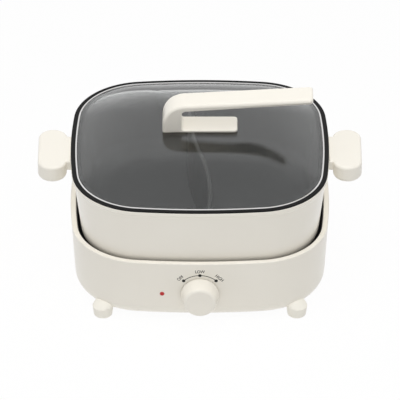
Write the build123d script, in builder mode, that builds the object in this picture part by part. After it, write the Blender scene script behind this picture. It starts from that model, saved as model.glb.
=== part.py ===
from build123d import *
import os
from math import atan2, cos, degrees, radians, sin, sqrt

os.makedirs("parts", exist_ok=True)

# Divided hot pot: a heating base, a lift-off pot with an S-shaped divider and a lift-off glass lid.
# Millimetres. X is to the right seen from the front, Y to the back, Z up, origin on the table.

# Plan outline of the pot lip, which every wall follows at its own inset
LIP_HALF_WIDTH = 145.0
LIP_HALF_DEPTH = 136.0
FRONT_ARC_R = 700.0
SIDE_ARC_R = 675.0
CORNER_R = 80.0

# Base shell
BASE_BOTTOM_Z = 8.5
BASE_HEIGHT = 76.3
BASE_BOTTOM_INSET = 4.5
BASE_TOP_INSET = 0.4
BASE_EDGE_R = 18.0
BASE_WALL = 3.0
BASE_FLOOR = 4.0
RIM_WIDTH = 6.2
RIM_DEPTH = 4.0
RIM_ROUND = 1.2

# Bottom cover and its screws
COVER_INSET = 26.0
COVER_THICKNESS = 2.0
COVER_LEDGE = 6.0
COVER_GAP = 0.4
COVER_BOSS_R = 4.0
COVER_BOSS_HEIGHT = 8.0

# Feet
FOOT_SIDE_INSET = 36.7
FOOT_FRONT_INSET = 24.9
FOOT_R = 11.6
FOOT_TIP_R = 10.2
FOOT_ROUND = 1.6
FOOT_BOSS_R = 11.9
FOOT_BOSS_DROP = 1.0
FOOT_BOSS_HEIGHT = 6.0
FOOT_BOSS_ROUND = 3.0
FOOT_SPIGOT_R = 5.0
FOOT_SPIGOT_LENGTH = 4.5
PAD_R = 7.5
PAD_THICKNESS = 2.4
PAD_PROUD = 1.0

# Well liner
LINER_GAP = 0.5
LINER_DRAFT = 1.5
LINER_WALL = 1.5
LINER_EDGE_R = 15.5
LINER_FLANGE = 1.3
LINER_DROP = 4.0
LINER_HOLE_GAP = 3.0

# Heating plate, element, shield and pillars
SEAT_HEIGHT = 51.5
PLATE_MARGIN = 41.0
PLATE_THICKNESS = 8.0
PLATE_CHAMFER = 1.5
PLATE_HOLE_R = 14.0
ELEMENT_EDGE = 25.0
ELEMENT_WIDTH = 8.0
ELEMENT_HEIGHT = 7.0
ELEMENT_CORNER_R = 3.0
ELEMENT_GAP_ANGLE = 40.0
TERMINAL_R = 2.0
TERMINAL_ANGLE = 4.0
TERMINAL_LENGTH = 15.0
SHIELD_LAND = 6.0
SHIELD_SHEET = 1.0
SHIELD_FLANGE = 9.0
SHIELD_DEPTH = 16.0
SHIELD_HOLE_GAP = 0.6
PILLAR_COUNT = 3
PILLAR_EDGE = 10.0
PILLAR_R = 6.0
PILLAR_NECK_R = 4.0
LINER_SCREW_COUNT = 4

# Sprung temperature sensor in the middle of the plate
SENSOR_R = 9.5
SENSOR_WALL = 1.2
SENSOR_PROUD = 1.0
SENSOR_FLANGE = 1.1
SENSOR_FLANGE_HEIGHT = 1.5
SENSOR_SKIRT = 12.5
SENSOR_LIP = 1.2
SENSOR_CUP_WALL = 1.2
SENSOR_BASE_R = 16.0
SENSOR_BASE_THICKNESS = 1.5
SENSOR_ROOM = 0.3
SPRING_COIL_R = 6.4
SPRING_WIRE_R = 0.5
SPRING_TURNS = 6
GUIDE_CLEARANCE = 0.05

# Knob, shaft and thermostat
KNOB_Z = 43.6
KNOB_R = 21.3
KNOB_FACE_R = 17.5
KNOB_HEIGHT = 18.0
KNOB_SKIRT = 2.5
KNOB_FACE_ROUND = 3.4
KNOB_BACK_ROUND = 0.8
KNOB_GAP = 0.4
KNOB_BORE_DEPTH = 11.0
SHAFT_R = 3.0
SHAFT_WALL_GAP = 1.5
SHAFT_HOLD = 14.0
SHAFT_FIT = 0.05
THERMOSTAT_WIDTH = 24.0
THERMOSTAT_SHIELD_GAP = 2.8
THERMOSTAT_BOTTOM_Z = 28.0
THERMOSTAT_TOP_Z = 52.0
THERMOSTAT_CORNER_R = 2.0
BRACKET_SHEET = 1.6
BRACKET_HALF_WIDTH = 26.0
BRACKET_HEIGHT = 14.0
BRACKET_CORNER_R = 3.0
BRACKET_SCREW_X = 20.0
POST_REACH = 6.0
POST_R = 4.5
POST_SINK = 1.5
TAB_X = 6.0
TAB_Z = 31.5
TAB_R = 1.6
TAB_LENGTH = 5.0

# Indicator lamp
LAMP_X = -42.0
LAMP_Z = 42.9
LENS_R = 2.5
LENS_PROUD = 0.9
LENS_ROUND = 0.6
LENS_FLANGE_R = 4.5
LENS_FLANGE_THICKNESS = 1.5
LENS_GAP = 0.15
LAMP_PAD_R = 6.5
LAMP_R = 2.2
HOLDER_R = 5.6
HOLDER_WALL = 1.2
HOLDER_LENGTH = 11.0

# Power inlet in the back wall
INLET_Z = 32.5
INLET_WIDTH = 27.0
INLET_HEIGHT = 19.5
INLET_CORNER_R = 3.0
INLET_PROUD = 1.2
INLET_DEPTH = 24.0
INLET_WALL = 2.0
INLET_SOCKET_DEPTH = 16.0
INLET_GAP = 0.3
INLET_FLANGE_WIDTH = 46.0
INLET_FLANGE_THICKNESS = 2.5
INLET_SCREW_X = 18.5
INLET_PAD_MARGIN = 1.5
INLET_PAD_REACH = 6.0
PIN_X = 7.0
PIN_DROP = 2.0
PIN_RISE = 3.0
PIN_WIDTH = 4.0
PIN_THICKNESS = 2.0
PIN_REACH = 13.0
PIN_TAIL = 6.0
PIN_GAP = 0.05

# Thermal fuse and leads under the heat shield
FUSE_X = -44.0
FUSE_Y = 20.0
FUSE_LENGTH = 22.0
FUSE_R = 3.2
LEAD_R = 1.2
LEAD_BEND_R = 4.0
LEAD_LOW_Z = 23.0
LEAD_STUB = 9.0
SWITCHED_BOW_X = 16.0
SWITCHED_BOW_INSET = 20.0
LIVE_BOW_X = -32.0
EARTH_X = 13.0
EARTH_INSET = 22.0

# Screws
SCREW_R = 1.5
SCREW_HEAD_R = 2.9
SCREW_HEAD_HEIGHT = 1.8
SCREW_GAP = 0.1
SCREW_LENGTH = 7.0

# Pot
POT_HEIGHT = 92.0
POT_TOP_INSET = 6.9
POT_BOTTOM_INSET = 15.5
POT_EDGE_R = 28.0
LIP_FLARE_HEIGHT = 13.0
LIP_HEIGHT = 4.0
LIP_ROUND = 0.8
LEDGE_INSET = 1.8
LEDGE_DEPTH = 4.0
CAVITY_TOP_INSET = 9.0
CAVITY_BOTTOM_INSET = 19.0
CAVITY_EDGE_R = 24.0
POT_FLOOR = 4.5
POT_DIMPLE_R = 22.0

# Divider
DIVIDER_THICKNESS = 5.0
DIVIDER_SWAY = 11.4
DIVIDER_SWAY_Y = 75.0
DIVIDER_END_X = 6.4
DIVIDER_TOP_DROP = 9.0
DIVIDER_ROUND = 2.2

# Side grips and the lugs that carry them
GRIP_INNER_GAP = 3.9
GRIP_WIDTH = 32.3
GRIP_LENGTH = 80.0
GRIP_CORNER_R = 16.0
GRIP_TOP_DROP = 3.0
GRIP_HEIGHT = 20.5
GRIP_TOP_ROUND = 2.5
GRIP_BOTTOM_ROUND = 6.0
NECK_LENGTH = 52.0
NECK_HEIGHT = 12.5
NECK_ROUND = 2.0
NECK_WALL_GAP = 0.4
LUG_LENGTH = 40.0
LUG_THICKNESS = 6.5
LUG_DROP = 3.0
LUG_REACH = 24.0
LUG_ROOT = 1.5
LUG_GAP = 0.2
GRIP_SCREW_Y = 13.0
GRIP_SCREW_REACH = 14.0
GRIP_SCREW_BITE = 5.0

# Lid
SEAL_FOOT = 1.0
SEAL_HEIGHT = 5.0
SEAL_GAP = 0.3
SEAL_ROUND = 1.2
LID_INSET = 5.4
BAND_HEIGHT = 5.0
BAND_WALL = 0.9
BAND_WIDTH = 1.85
BAND_SHEET = 0.5
BAND_ROUND = 0.3
BAND_SEAT = 2.6
GLASS_GAP = 0.2
GLASS_THICKNESS = 4.0
GLASS_EDGE = 5.0
DOME_RISE = 26.0
DOME_FLAT_SHARE = 0.34
DOME_STEPS = 5

# Lid handle
HANDLE_WIDTH = 29.6
HANDLE_LEFT_X = -41.8
HANDLE_LEG = 21.4
HANDLE_FOOT_RIGHT_X = 42.0
HANDLE_FOOT_HEIGHT = 3.2
HANDLE_TIP_X = 126.1
GRIP_UNDER_LEFT = 27.2
GRIP_UNDER_TIP = 37.7
GRIP_OVER_LEFT = 34.0
GRIP_OVER_TIP = 44.0
HANDLE_ELBOW_R = 26.0
HANDLE_INNER_R = 5.0
HANDLE_CROOK_R = 3.0
HANDLE_TIP_R = 2.0
HANDLE_FOOT_END_R = 1.0
HANDLE_EDGE_R = 1.4
HANDLE_SCREW_X = 29.0
HANDLE_BOSS_R = 5.0
HANDLE_BOSS_DROP = 3.5
HANDLE_BOSS_GAP = 0.5
HANDLE_SCREW_BITE = 5.0
WASHER_R = 9.0
WASHER_THICKNESS = 1.5

HALF_TURN = 180.0
FULL_TURN = 360.0
OVERRUN = 1.0

# Heights and places that follow from the sizes above
base_rim_z = BASE_BOTTOM_Z + BASE_HEIGHT
base_floor_z = BASE_BOTTOM_Z + BASE_FLOOR
rim_under_z = base_rim_z - RIM_DEPTH
rim_inset = BASE_TOP_INSET + RIM_WIDTH
cover_top_z = BASE_BOTTOM_Z + COVER_THICKNESS
seat_z = BASE_BOTTOM_Z + SEAT_HEIGHT
plate_under_z = seat_z - PLATE_THICKNESS
liner_floor_z = seat_z - LINER_DROP
liner_under_z = liner_floor_z - LINER_WALL
shield_floor_z = liner_under_z - SHIELD_DEPTH
shield_top_z = shield_floor_z + SHIELD_SHEET
foot_top_z = BASE_BOTTOM_Z - FOOT_BOSS_DROP
foot_x = LIP_HALF_WIDTH - FOOT_SIDE_INSET
foot_y = LIP_HALF_DEPTH - FOOT_FRONT_INSET
plate_r = LIP_HALF_DEPTH - PLATE_MARGIN
element_ring_r = plate_r - ELEMENT_EDGE
pillar_ring_r = plate_r - PILLAR_EDGE
liner_hole_r = plate_r + LINER_HOLE_GAP
shield_r = liner_hole_r + SHIELD_LAND
switched_bow_y = SWITCHED_BOW_INSET - shield_r
earth_y = shield_r - EARTH_INSET
lip_z = seat_z + POT_HEIGHT
flare_top_z = lip_z - LIP_HEIGHT
flare_low_z = flare_top_z - LIP_FLARE_HEIGHT
ledge_z = lip_z - LEDGE_DEPTH
lid_z = ledge_z + SEAL_FOOT
glass_under_z = lid_z + BAND_SHEET
dome_base_z = glass_under_z + GLASS_THICKNESS
dome_top_z = dome_base_z + DOME_RISE
crown_under_z = glass_under_z + DOME_RISE
grip_top_z = lip_z - GRIP_TOP_DROP
foot_places = {
    "foot_front_left": (-foot_x, -foot_y),
    "foot_front_right": (foot_x, -foot_y),
    "foot_rear_left": (-foot_x, foot_y),
    "foot_rear_right": (foot_x, foot_y),
}
cover_screw_inset = COVER_INSET + COVER_LEDGE / 2
cover_screw_places = [
    (LIP_HALF_WIDTH - cover_screw_inset, 0),
    (cover_screw_inset - LIP_HALF_WIDTH, 0),
    (0, LIP_HALF_DEPTH - cover_screw_inset),
    (0, cover_screw_inset - LIP_HALF_DEPTH),
]

# Centres of the four kinds of arc in the plan outline, which meet tangentially
back_centre = Vector(0, LIP_HALF_DEPTH - FRONT_ARC_R)
side_centre = Vector(LIP_HALF_WIDTH - SIDE_ARC_R, 0)
centre_span = side_centre - back_centre
back_reach = FRONT_ARC_R - CORNER_R
side_reach = SIDE_ARC_R - CORNER_R
span_share = (back_reach**2 - side_reach**2 + centre_span.length**2) / (2 * centre_span.length**2)
cross_reach = sqrt(back_reach**2 - (span_share * centre_span.length) ** 2)
span_unit = centre_span.normalized()
corner_centre = back_centre + centre_span * span_share + Vector(span_unit.Y, -span_unit.X) * cross_reach
back_join = degrees(atan2(corner_centre.Y - back_centre.Y, corner_centre.X - back_centre.X))
side_join = degrees(atan2(corner_centre.Y - side_centre.Y, corner_centre.X - side_centre.X))


def outline(inset):
    """The plan outline moved in by an inset: every arc keeps its centre and loses the inset in radius."""
    left_corner = Vector(-corner_centre.X, corner_centre.Y)
    with BuildSketch() as plan:
        with BuildLine():
            for turn, flip in ((0, 1), (HALF_TURN, -1)):
                CenterArc(side_centre * flip, SIDE_ARC_R - inset, turn - side_join, 2 * side_join)
                CenterArc(corner_centre * flip, CORNER_R - inset, turn + side_join, back_join - side_join)
                CenterArc(
                    back_centre * flip, FRONT_ARC_R - inset, turn + back_join, HALF_TURN - 2 * back_join
                )
                CenterArc(
                    left_corner * flip, CORNER_R - inset, turn + HALF_TURN - back_join, back_join - side_join
                )
        make_face()
    return plan.sketch


def tub(bottom_inset, top_inset, bottom_z, top_z, edge_r):
    """A drafted block on the plan outline with a rounded lower edge."""
    height = top_z - bottom_z
    with BuildPart() as block:
        with BuildSketch(Plane.XY.offset(bottom_z)):
            add(outline(bottom_inset))
        extrude(amount=height, taper=degrees(atan2(top_inset - bottom_inset, height)))
        fillet(block.faces().sort_by(Axis.Z)[0].edges(), edge_r)
    return block.part


def ring(outer_inset, inner_inset, bottom_z, height):
    """An upright band between two insets of the plan outline."""
    with BuildPart() as band:
        with BuildSketch(Plane.XY.offset(bottom_z)):
            add(outline(outer_inset))
            add(outline(inner_inset), mode=Mode.SUBTRACT)
        extrude(amount=height)
    return band.part


def dome(inset, base_z):
    """A crowned block: shrinking copies of the outline rise along a parabola to a flat crown."""
    with BuildPart() as crown:
        for step in range(DOME_STEPS + 1):
            run_share = 1 - step / DOME_STEPS
            with BuildSketch(Plane.XY.offset(base_z + DOME_RISE * (1 - run_share**2))):
                add(outline(inset))
                scale(by=DOME_FLAT_SHARE + (1 - DOME_FLAT_SHARE) * run_share)
        loft()
    return crown.part


def base_inset(z):
    """Inset of the base shell's drafted outer face at a height."""
    return BASE_BOTTOM_INSET - (BASE_BOTTOM_INSET - BASE_TOP_INSET) * (z - BASE_BOTTOM_Z) / BASE_HEIGHT


def pot_inset(z):
    """Inset of the pot's outer face at a height: a straight draft, then the flare to the lip."""
    if z > flare_low_z:
        return POT_TOP_INSET * (flare_top_z - z) / LIP_FLARE_HEIGHT
    return POT_TOP_INSET + (POT_BOTTOM_INSET - POT_TOP_INSET) * (flare_low_z - z) / (flare_low_z - seat_z)


def pot_block(gap):
    """The pot's outer form grown by a gap: a drafted tub, a flare and an upright lip."""
    with BuildPart() as block:
        add(tub(POT_BOTTOM_INSET - gap, POT_TOP_INSET - gap, seat_z, flare_low_z, POT_EDGE_R))
        with BuildSketch(Plane.XY.offset(flare_low_z)):
            add(outline(POT_TOP_INSET - gap))
        extrude(amount=LIP_FLARE_HEIGHT, taper=degrees(atan2(-POT_TOP_INSET, LIP_FLARE_HEIGHT)))
        with BuildSketch(Plane.XY.offset(flare_top_z)):
            add(outline(-gap))
        extrude(amount=LIP_HEIGHT)
    return block.part


def pot_cavity():
    """The room inside the pot, drafted, with a rounded floor edge."""
    return tub(CAVITY_BOTTOM_INSET, CAVITY_TOP_INSET, seat_z + POT_FLOOR, ledge_z, CAVITY_EDGE_R)


def pot_mould():
    """Everything round the pot's room, by which a wall inside the pot is cut back."""
    with BuildPart() as mould:
        with BuildSketch(Plane.XY.offset(seat_z)):
            add(outline(-DIVIDER_THICKNESS))
        extrude(amount=POT_HEIGHT)
        add(pot_cavity(), mode=Mode.SUBTRACT)
    return mould.part


def circle_places(radius, angles):
    """Plan points on a circle about the origin, at the given angles."""
    return [(radius * cos(radians(angle)), radius * sin(radians(angle))) for angle in angles]


def front_plane(y):
    """An upright plane at a depth y, facing the front: its own axes are X and Z."""
    return Plane.XZ.offset(-y)


def radial_plane(angle):
    """An upright plane through the Z axis: its own axes are the radius at that angle and Z."""
    out = Vector(cos(radians(angle)), sin(radians(angle)), 0)
    return Plane(origin=(0, 0, 0), x_dir=out, z_dir=(out.Y, -out.X, 0))


def rod(radius, bottom_z, height, places):
    """Upright round rods at the given places."""
    with BuildPart() as rods:
        with BuildSketch(Plane.XY.offset(bottom_z)):
            with Locations(*places):
                Circle(radius)
        extrude(amount=height)
    return rods.part


def cross_rod(radius, back_y, length, places):
    """Round rods along Y that start at a depth and run to the front, at the given X and Z."""
    with BuildPart() as rods:
        with BuildSketch(front_plane(back_y)):
            with Locations(*places):
                Circle(radius)
        extrude(amount=length)
    return rods.part


def screws(head_z, places, length, upward=True):
    """Pan-head screws along Z: the head lies outside head_z and the shank goes in."""
    way = 1 if upward else -1
    with BuildPart() as group:
        with BuildSketch(Plane.XY.offset(head_z)):
            with Locations(*places):
                Circle(SCREW_HEAD_R)
        extrude(amount=-way * SCREW_HEAD_HEIGHT)
        with BuildSketch(Plane.XY.offset(head_z)):
            with Locations(*places):
                Circle(SCREW_R)
        extrude(amount=way * length)
    return group.part


def cross_screws(head_y, places, length, forward=True):
    """Pan-head screws along Y: the head lies on the inner side of head_y and the shank goes to the wall."""
    way = 1 if forward else -1
    with BuildPart() as group:
        with BuildSketch(front_plane(head_y)):
            with Locations(*places):
                Circle(SCREW_HEAD_R)
        extrude(amount=-way * SCREW_HEAD_HEIGHT)
        with BuildSketch(front_plane(head_y)):
            with Locations(*places):
                Circle(SCREW_R)
        extrude(amount=way * length)
    return group.part


def lead(route):
    """A round insulated wire along straight runs joined by arcs."""
    with BuildPart() as wire:
        with BuildLine() as path:
            FilletPolyline(*route, radius=LEAD_BEND_R)
        with BuildSketch(Plane(origin=path.line @ 0, z_dir=path.line % 0)):
            Circle(LEAD_R)
        sweep()
    return wire.part


def keep(builder, name):
    """Name a finished piece and write it to its file."""
    builder.part.label = name
    export_step(builder.part, f"parts/{name}.step")


# Places of what stands inside the drafted walls of the base
liner_top_inset = base_inset(rim_under_z) + BASE_WALL + LINER_GAP + LINER_FLANGE
front_inner_y = base_inset(KNOB_Z) + BASE_WALL - LIP_HALF_DEPTH
bracket_front_y = front_inner_y + POST_REACH
thermostat_front_y = bracket_front_y + BRACKET_SHEET
thermostat_back_y = -shield_r - THERMOSTAT_SHIELD_GAP
knob_back_y = base_inset(KNOB_Z + KNOB_R) - LIP_HALF_DEPTH - KNOB_GAP
knob_face_y = knob_back_y - KNOB_HEIGHT
lamp_wall_bow = FRONT_ARC_R - sqrt(FRONT_ARC_R**2 - LAMP_X**2)
lamp_wall_y = base_inset(LAMP_Z) - LIP_HALF_DEPTH + lamp_wall_bow
lamp_seat_y = lamp_wall_y + BASE_WALL + POST_REACH
back_inner_y = LIP_HALF_DEPTH - base_inset(INLET_Z) - BASE_WALL
inlet_seat_y = back_inner_y - INLET_PAD_REACH
inlet_face_y = LIP_HALF_DEPTH - base_inset(INLET_Z) + INLET_PROUD
inlet_back_y = inlet_face_y - INLET_DEPTH
socket_floor_y = inlet_face_y - INLET_SOCKET_DEPTH
pin_tail_y = inlet_back_y - PIN_TAIL
pillar_places = circle_places(
    pillar_ring_r, [FULL_TURN * place / PILLAR_COUNT - FULL_TURN / 4 for place in range(PILLAR_COUNT)]
)
liner_screw_places = circle_places(
    shield_r + SHIELD_FLANGE / 2,
    [FULL_TURN * (place + 1 / 2) / LINER_SCREW_COUNT for place in range(LINER_SCREW_COUNT)],
)
post_places = [(-BRACKET_SCREW_X, KNOB_Z), (BRACKET_SCREW_X, KNOB_Z)]
inlet_screw_places = [(-INLET_SCREW_X, INLET_Z), (INLET_SCREW_X, INLET_Z)]
tab_places = [(-TAB_X, TAB_Z), (TAB_X, TAB_Z)]
pin_places = [(-PIN_X, INLET_Z - PIN_DROP), (PIN_X, INLET_Z - PIN_DROP), (0, INLET_Z + PIN_RISE)]

# Base shell: one moulding with a rim round the well, foot bosses, posts and wall openings
with BuildPart() as foot_bosses:
    add(rod(FOOT_BOSS_R, foot_top_z, FOOT_BOSS_HEIGHT, foot_places.values()))
    fillet(foot_bosses.edges().group_by(Axis.Z)[-1], FOOT_BOSS_ROUND)

with BuildPart() as base_shell:
    add(tub(BASE_BOTTOM_INSET, BASE_TOP_INSET, BASE_BOTTOM_Z, base_rim_z, BASE_EDGE_R))
    add(
        tub(
            base_inset(base_floor_z) + BASE_WALL,
            base_inset(rim_under_z) + BASE_WALL,
            base_floor_z,
            rim_under_z,
            BASE_EDGE_R - BASE_WALL,
        ),
        mode=Mode.SUBTRACT,
    )
    with BuildSketch(Plane.XY.offset(rim_under_z)):
        add(outline(rim_inset))
    extrude(amount=RIM_DEPTH, mode=Mode.SUBTRACT)
    fillet(base_shell.faces().sort_by(Axis.Z)[-1].edges(), RIM_ROUND)
    with BuildSketch(Plane.XY.offset(BASE_BOTTOM_Z)):
        add(outline(COVER_INSET - COVER_GAP))
    extrude(amount=COVER_THICKNESS, mode=Mode.SUBTRACT)
    with BuildSketch(Plane.XY.offset(BASE_BOTTOM_Z)):
        add(outline(COVER_INSET + COVER_LEDGE))
    extrude(amount=BASE_FLOOR, mode=Mode.SUBTRACT)
    add(foot_bosses.part)
    add(
        rod(FOOT_SPIGOT_R + SCREW_GAP, foot_top_z, FOOT_SPIGOT_LENGTH + SCREW_GAP, foot_places.values()),
        mode=Mode.SUBTRACT,
    )
    add(rod(COVER_BOSS_R, cover_top_z, COVER_BOSS_HEIGHT, cover_screw_places))
    add(rod(SCREW_R + SCREW_GAP, cover_top_z, SCREW_LENGTH, cover_screw_places), mode=Mode.SUBTRACT)
    add(cross_rod(POST_R, bracket_front_y, POST_REACH + POST_SINK, post_places))
    add(cross_rod(SCREW_R + SCREW_GAP, bracket_front_y, POST_REACH, post_places), mode=Mode.SUBTRACT)
    add(
        cross_rod(SHAFT_R + SHAFT_WALL_GAP, bracket_front_y, bracket_front_y - knob_face_y, [(0, KNOB_Z)]),
        mode=Mode.SUBTRACT,
    )
    add(cross_rod(LAMP_PAD_R, lamp_seat_y, POST_REACH + POST_SINK, [(LAMP_X, LAMP_Z)]))
    add(
        cross_rod(LENS_R + LENS_GAP, lamp_seat_y, lamp_seat_y - knob_face_y, [(LAMP_X, LAMP_Z)]),
        mode=Mode.SUBTRACT,
    )
    with BuildSketch(front_plane(inlet_seat_y)):
        with Locations((0, INLET_Z)):
            Rectangle(INLET_FLANGE_WIDTH + 2 * INLET_PAD_MARGIN, INLET_HEIGHT + 2 * INLET_PAD_MARGIN)
    extrude(amount=-INLET_PAD_REACH - POST_SINK)
    with BuildSketch(front_plane(inlet_seat_y)):
        with Locations((0, INLET_Z)):
            RectangleRounded(INLET_WIDTH + 2 * INLET_GAP, INLET_HEIGHT + 2 * INLET_GAP, INLET_CORNER_R)
    extrude(amount=inlet_seat_y - inlet_face_y - OVERRUN, mode=Mode.SUBTRACT)
    add(
        cross_rod(SCREW_R + SCREW_GAP, inlet_seat_y + INLET_PAD_REACH, INLET_PAD_REACH, inlet_screw_places),
        mode=Mode.SUBTRACT,
    )
keep(base_shell, "base_shell")

# Well liner: a pressed black tray that hangs under the rim and lets the heating plate through
with BuildPart() as well_liner:
    add(
        tub(
            liner_top_inset + LINER_DRAFT,
            liner_top_inset,
            liner_under_z,
            rim_under_z,
            LINER_EDGE_R,
        )
    )
    add(
        ring(
            liner_top_inset - LINER_FLANGE,
            liner_top_inset + LINER_WALL,
            rim_under_z - LINER_WALL,
            LINER_WALL,
        )
    )
    add(
        tub(
            liner_top_inset + LINER_DRAFT + LINER_WALL,
            liner_top_inset + LINER_WALL,
            liner_floor_z,
            rim_under_z,
            LINER_EDGE_R - LINER_WALL,
        ),
        mode=Mode.SUBTRACT,
    )
    with BuildSketch(Plane.XY.offset(liner_under_z)):
        Circle(liner_hole_r)
        with Locations(*liner_screw_places):
            Circle(SCREW_R + SCREW_GAP)
    extrude(amount=LINER_WALL, mode=Mode.SUBTRACT)
keep(well_liner, "well_liner")

# Bottom cover: a flat plate in the recess under the shell, with holes for its screws and the pillar screws
with BuildPart() as bottom_cover:
    with BuildSketch(Plane.XY.offset(BASE_BOTTOM_Z)):
        add(outline(COVER_INSET))
        with Locations(*cover_screw_places, *pillar_places):
            Circle(SCREW_R + SCREW_GAP, mode=Mode.SUBTRACT)
    extrude(amount=COVER_THICKNESS)
keep(bottom_cover, "bottom_cover")

with BuildPart() as cover_screws:
    add(screws(BASE_BOTTOM_Z, cover_screw_places, SCREW_LENGTH))
keep(cover_screws, "cover_screws")

# Feet: four tapered plugs in the shell's bosses, each with a soft pad let into its sole
for name, place in foot_places.items():
    with BuildPart() as foot:
        with BuildSketch(Plane.XZ) as profile:
            with BuildLine():
                Polyline(
                    (0, PAD_PROUD),
                    (FOOT_TIP_R, PAD_PROUD),
                    (FOOT_R, foot_top_z),
                    (FOOT_SPIGOT_R, foot_top_z),
                    (FOOT_SPIGOT_R, foot_top_z + FOOT_SPIGOT_LENGTH),
                    (0, foot_top_z + FOOT_SPIGOT_LENGTH),
                    close=True,
                )
            make_face()
        revolve(axis=Axis.Z)
        fillet(foot.edges().filter_by(GeomType.CIRCLE).sort_by(Axis.Z)[0], FOOT_ROUND)
        add(rod(PAD_R + SCREW_GAP, 0, PAD_THICKNESS, [(0, 0)]), mode=Mode.SUBTRACT)
    with BuildPart() as placed_foot:
        with Locations(place):
            add(foot.part)
    keep(placed_foot, name)

with BuildPart() as foot_pads:
    add(rod(PAD_R, 0, PAD_THICKNESS, foot_places.values()))
keep(foot_pads, "foot_pads")

# Heating plate: a thick aluminium disc with a hole for the sensor
with BuildPart() as heating_plate:
    with BuildSketch(Plane.XY.offset(plate_under_z)):
        Circle(plate_r)
        Circle(PLATE_HOLE_R, mode=Mode.SUBTRACT)
    extrude(amount=PLATE_THICKNESS)
    chamfer(heating_plate.faces().sort_by(Axis.Z)[-1].outer_wire().edges(), PLATE_CHAMFER)
keep(heating_plate, "heating_plate")

# Heating element: an open ring of flat-topped tube brazed under the plate, with a terminal pin at each end
element_start = FULL_TURN / 4 + ELEMENT_GAP_ANGLE / 2
terminal_places = circle_places(
    element_ring_r,
    [
        FULL_TURN / 4 - ELEMENT_GAP_ANGLE / 2 - TERMINAL_ANGLE,
        FULL_TURN / 4 + ELEMENT_GAP_ANGLE / 2 + TERMINAL_ANGLE,
    ],
)
element_under_z = plate_under_z - ELEMENT_HEIGHT
terminal_tip_z = element_under_z - TERMINAL_LENGTH
with BuildPart() as heating_element:
    with BuildSketch(radial_plane(element_start)) as element_section:
        with Locations((element_ring_r, element_under_z + ELEMENT_HEIGHT / 2)):
            Rectangle(ELEMENT_WIDTH, ELEMENT_HEIGHT)
        fillet(element_section.vertices().group_by(Axis.Y)[0], ELEMENT_CORNER_R)
    revolve(axis=Axis.Z, revolution_arc=FULL_TURN - ELEMENT_GAP_ANGLE)
    add(rod(TERMINAL_R, terminal_tip_z, TERMINAL_LENGTH + ELEMENT_HEIGHT / 2, terminal_places))
keep(heating_element, "heating_element")

# Heat shield: a spun pan round the element, screwed by its flange to the liner floor
with BuildPart() as heat_shield:
    with BuildSketch(Plane.XZ):
        with BuildLine():
            Polyline(
                (0, shield_floor_z),
                (shield_r, shield_floor_z),
                (shield_r, liner_under_z - SHIELD_SHEET),
                (shield_r + SHIELD_FLANGE, liner_under_z - SHIELD_SHEET),
                (shield_r + SHIELD_FLANGE, liner_under_z),
                (shield_r - SHIELD_SHEET, liner_under_z),
                (shield_r - SHIELD_SHEET, shield_top_z),
                (0, shield_top_z),
                close=True,
            )
        make_face()
    revolve(axis=Axis.Z)
    with BuildSketch(Plane.XY.offset(shield_floor_z)):
        with Locations(*pillar_places):
            Circle(PILLAR_NECK_R + SHIELD_HOLE_GAP)
        with Locations(*terminal_places):
            Circle(TERMINAL_R + SHIELD_HOLE_GAP)
    extrude(amount=SHIELD_SHEET, mode=Mode.SUBTRACT)
    with BuildSketch(Plane.XY.offset(liner_under_z - SHIELD_SHEET)):
        with Locations(*liner_screw_places):
            Circle(SCREW_R + SCREW_GAP)
    extrude(amount=SHIELD_SHEET, mode=Mode.SUBTRACT)
keep(heat_shield, "heat_shield")

with BuildPart() as liner_screws:
    add(screws(liner_floor_z, liner_screw_places, SCREW_LENGTH, upward=False))
keep(liner_screws, "liner_screws")

# Plate pillars: stepped posts from the bottom cover, with the shield on the step and the plate on top
with BuildPart() as plate_pillars:
    add(rod(PILLAR_R, cover_top_z, shield_floor_z - cover_top_z, pillar_places))
    add(rod(PILLAR_NECK_R, shield_floor_z, plate_under_z - shield_floor_z, pillar_places))
    add(rod(SCREW_R + SCREW_GAP, cover_top_z, SCREW_LENGTH, pillar_places), mode=Mode.SUBTRACT)
keep(plate_pillars, "plate_pillars")

with BuildPart() as plate_screws:
    add(screws(BASE_BOTTOM_Z, pillar_places, SCREW_LENGTH))
keep(plate_screws, "plate_screws")

# Sensor: a sprung cap in a cup on the shield, whose flange stops under the cup's lip
sensor_top_z = seat_z + SENSOR_PROUD
sensor_skirt_z = sensor_top_z - SENSOR_SKIRT
sensor_stop_z = sensor_skirt_z + SENSOR_FLANGE_HEIGHT
sensor_flange_r = SENSOR_R + SENSOR_FLANGE
cup_bore_r = sensor_flange_r + GUIDE_CLEARANCE
cup_r = cup_bore_r + SENSOR_CUP_WALL
cup_floor_z = shield_top_z + SENSOR_BASE_THICKNESS
with BuildPart() as sensor_housing:
    with BuildSketch(Plane.XZ):
        with BuildLine():
            Polyline(
                (0, shield_top_z),
                (SENSOR_BASE_R, shield_top_z),
                (SENSOR_BASE_R, cup_floor_z),
                (cup_r, cup_floor_z),
                (cup_r, sensor_stop_z + SENSOR_LIP),
                (SENSOR_R + GUIDE_CLEARANCE, sensor_stop_z + SENSOR_LIP),
                (SENSOR_R + GUIDE_CLEARANCE, sensor_stop_z),
                (cup_bore_r, sensor_stop_z),
                (cup_bore_r, cup_floor_z),
                (0, cup_floor_z),
                close=True,
            )
        make_face()
    revolve(axis=Axis.Z)
keep(sensor_housing, "sensor_housing")

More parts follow.
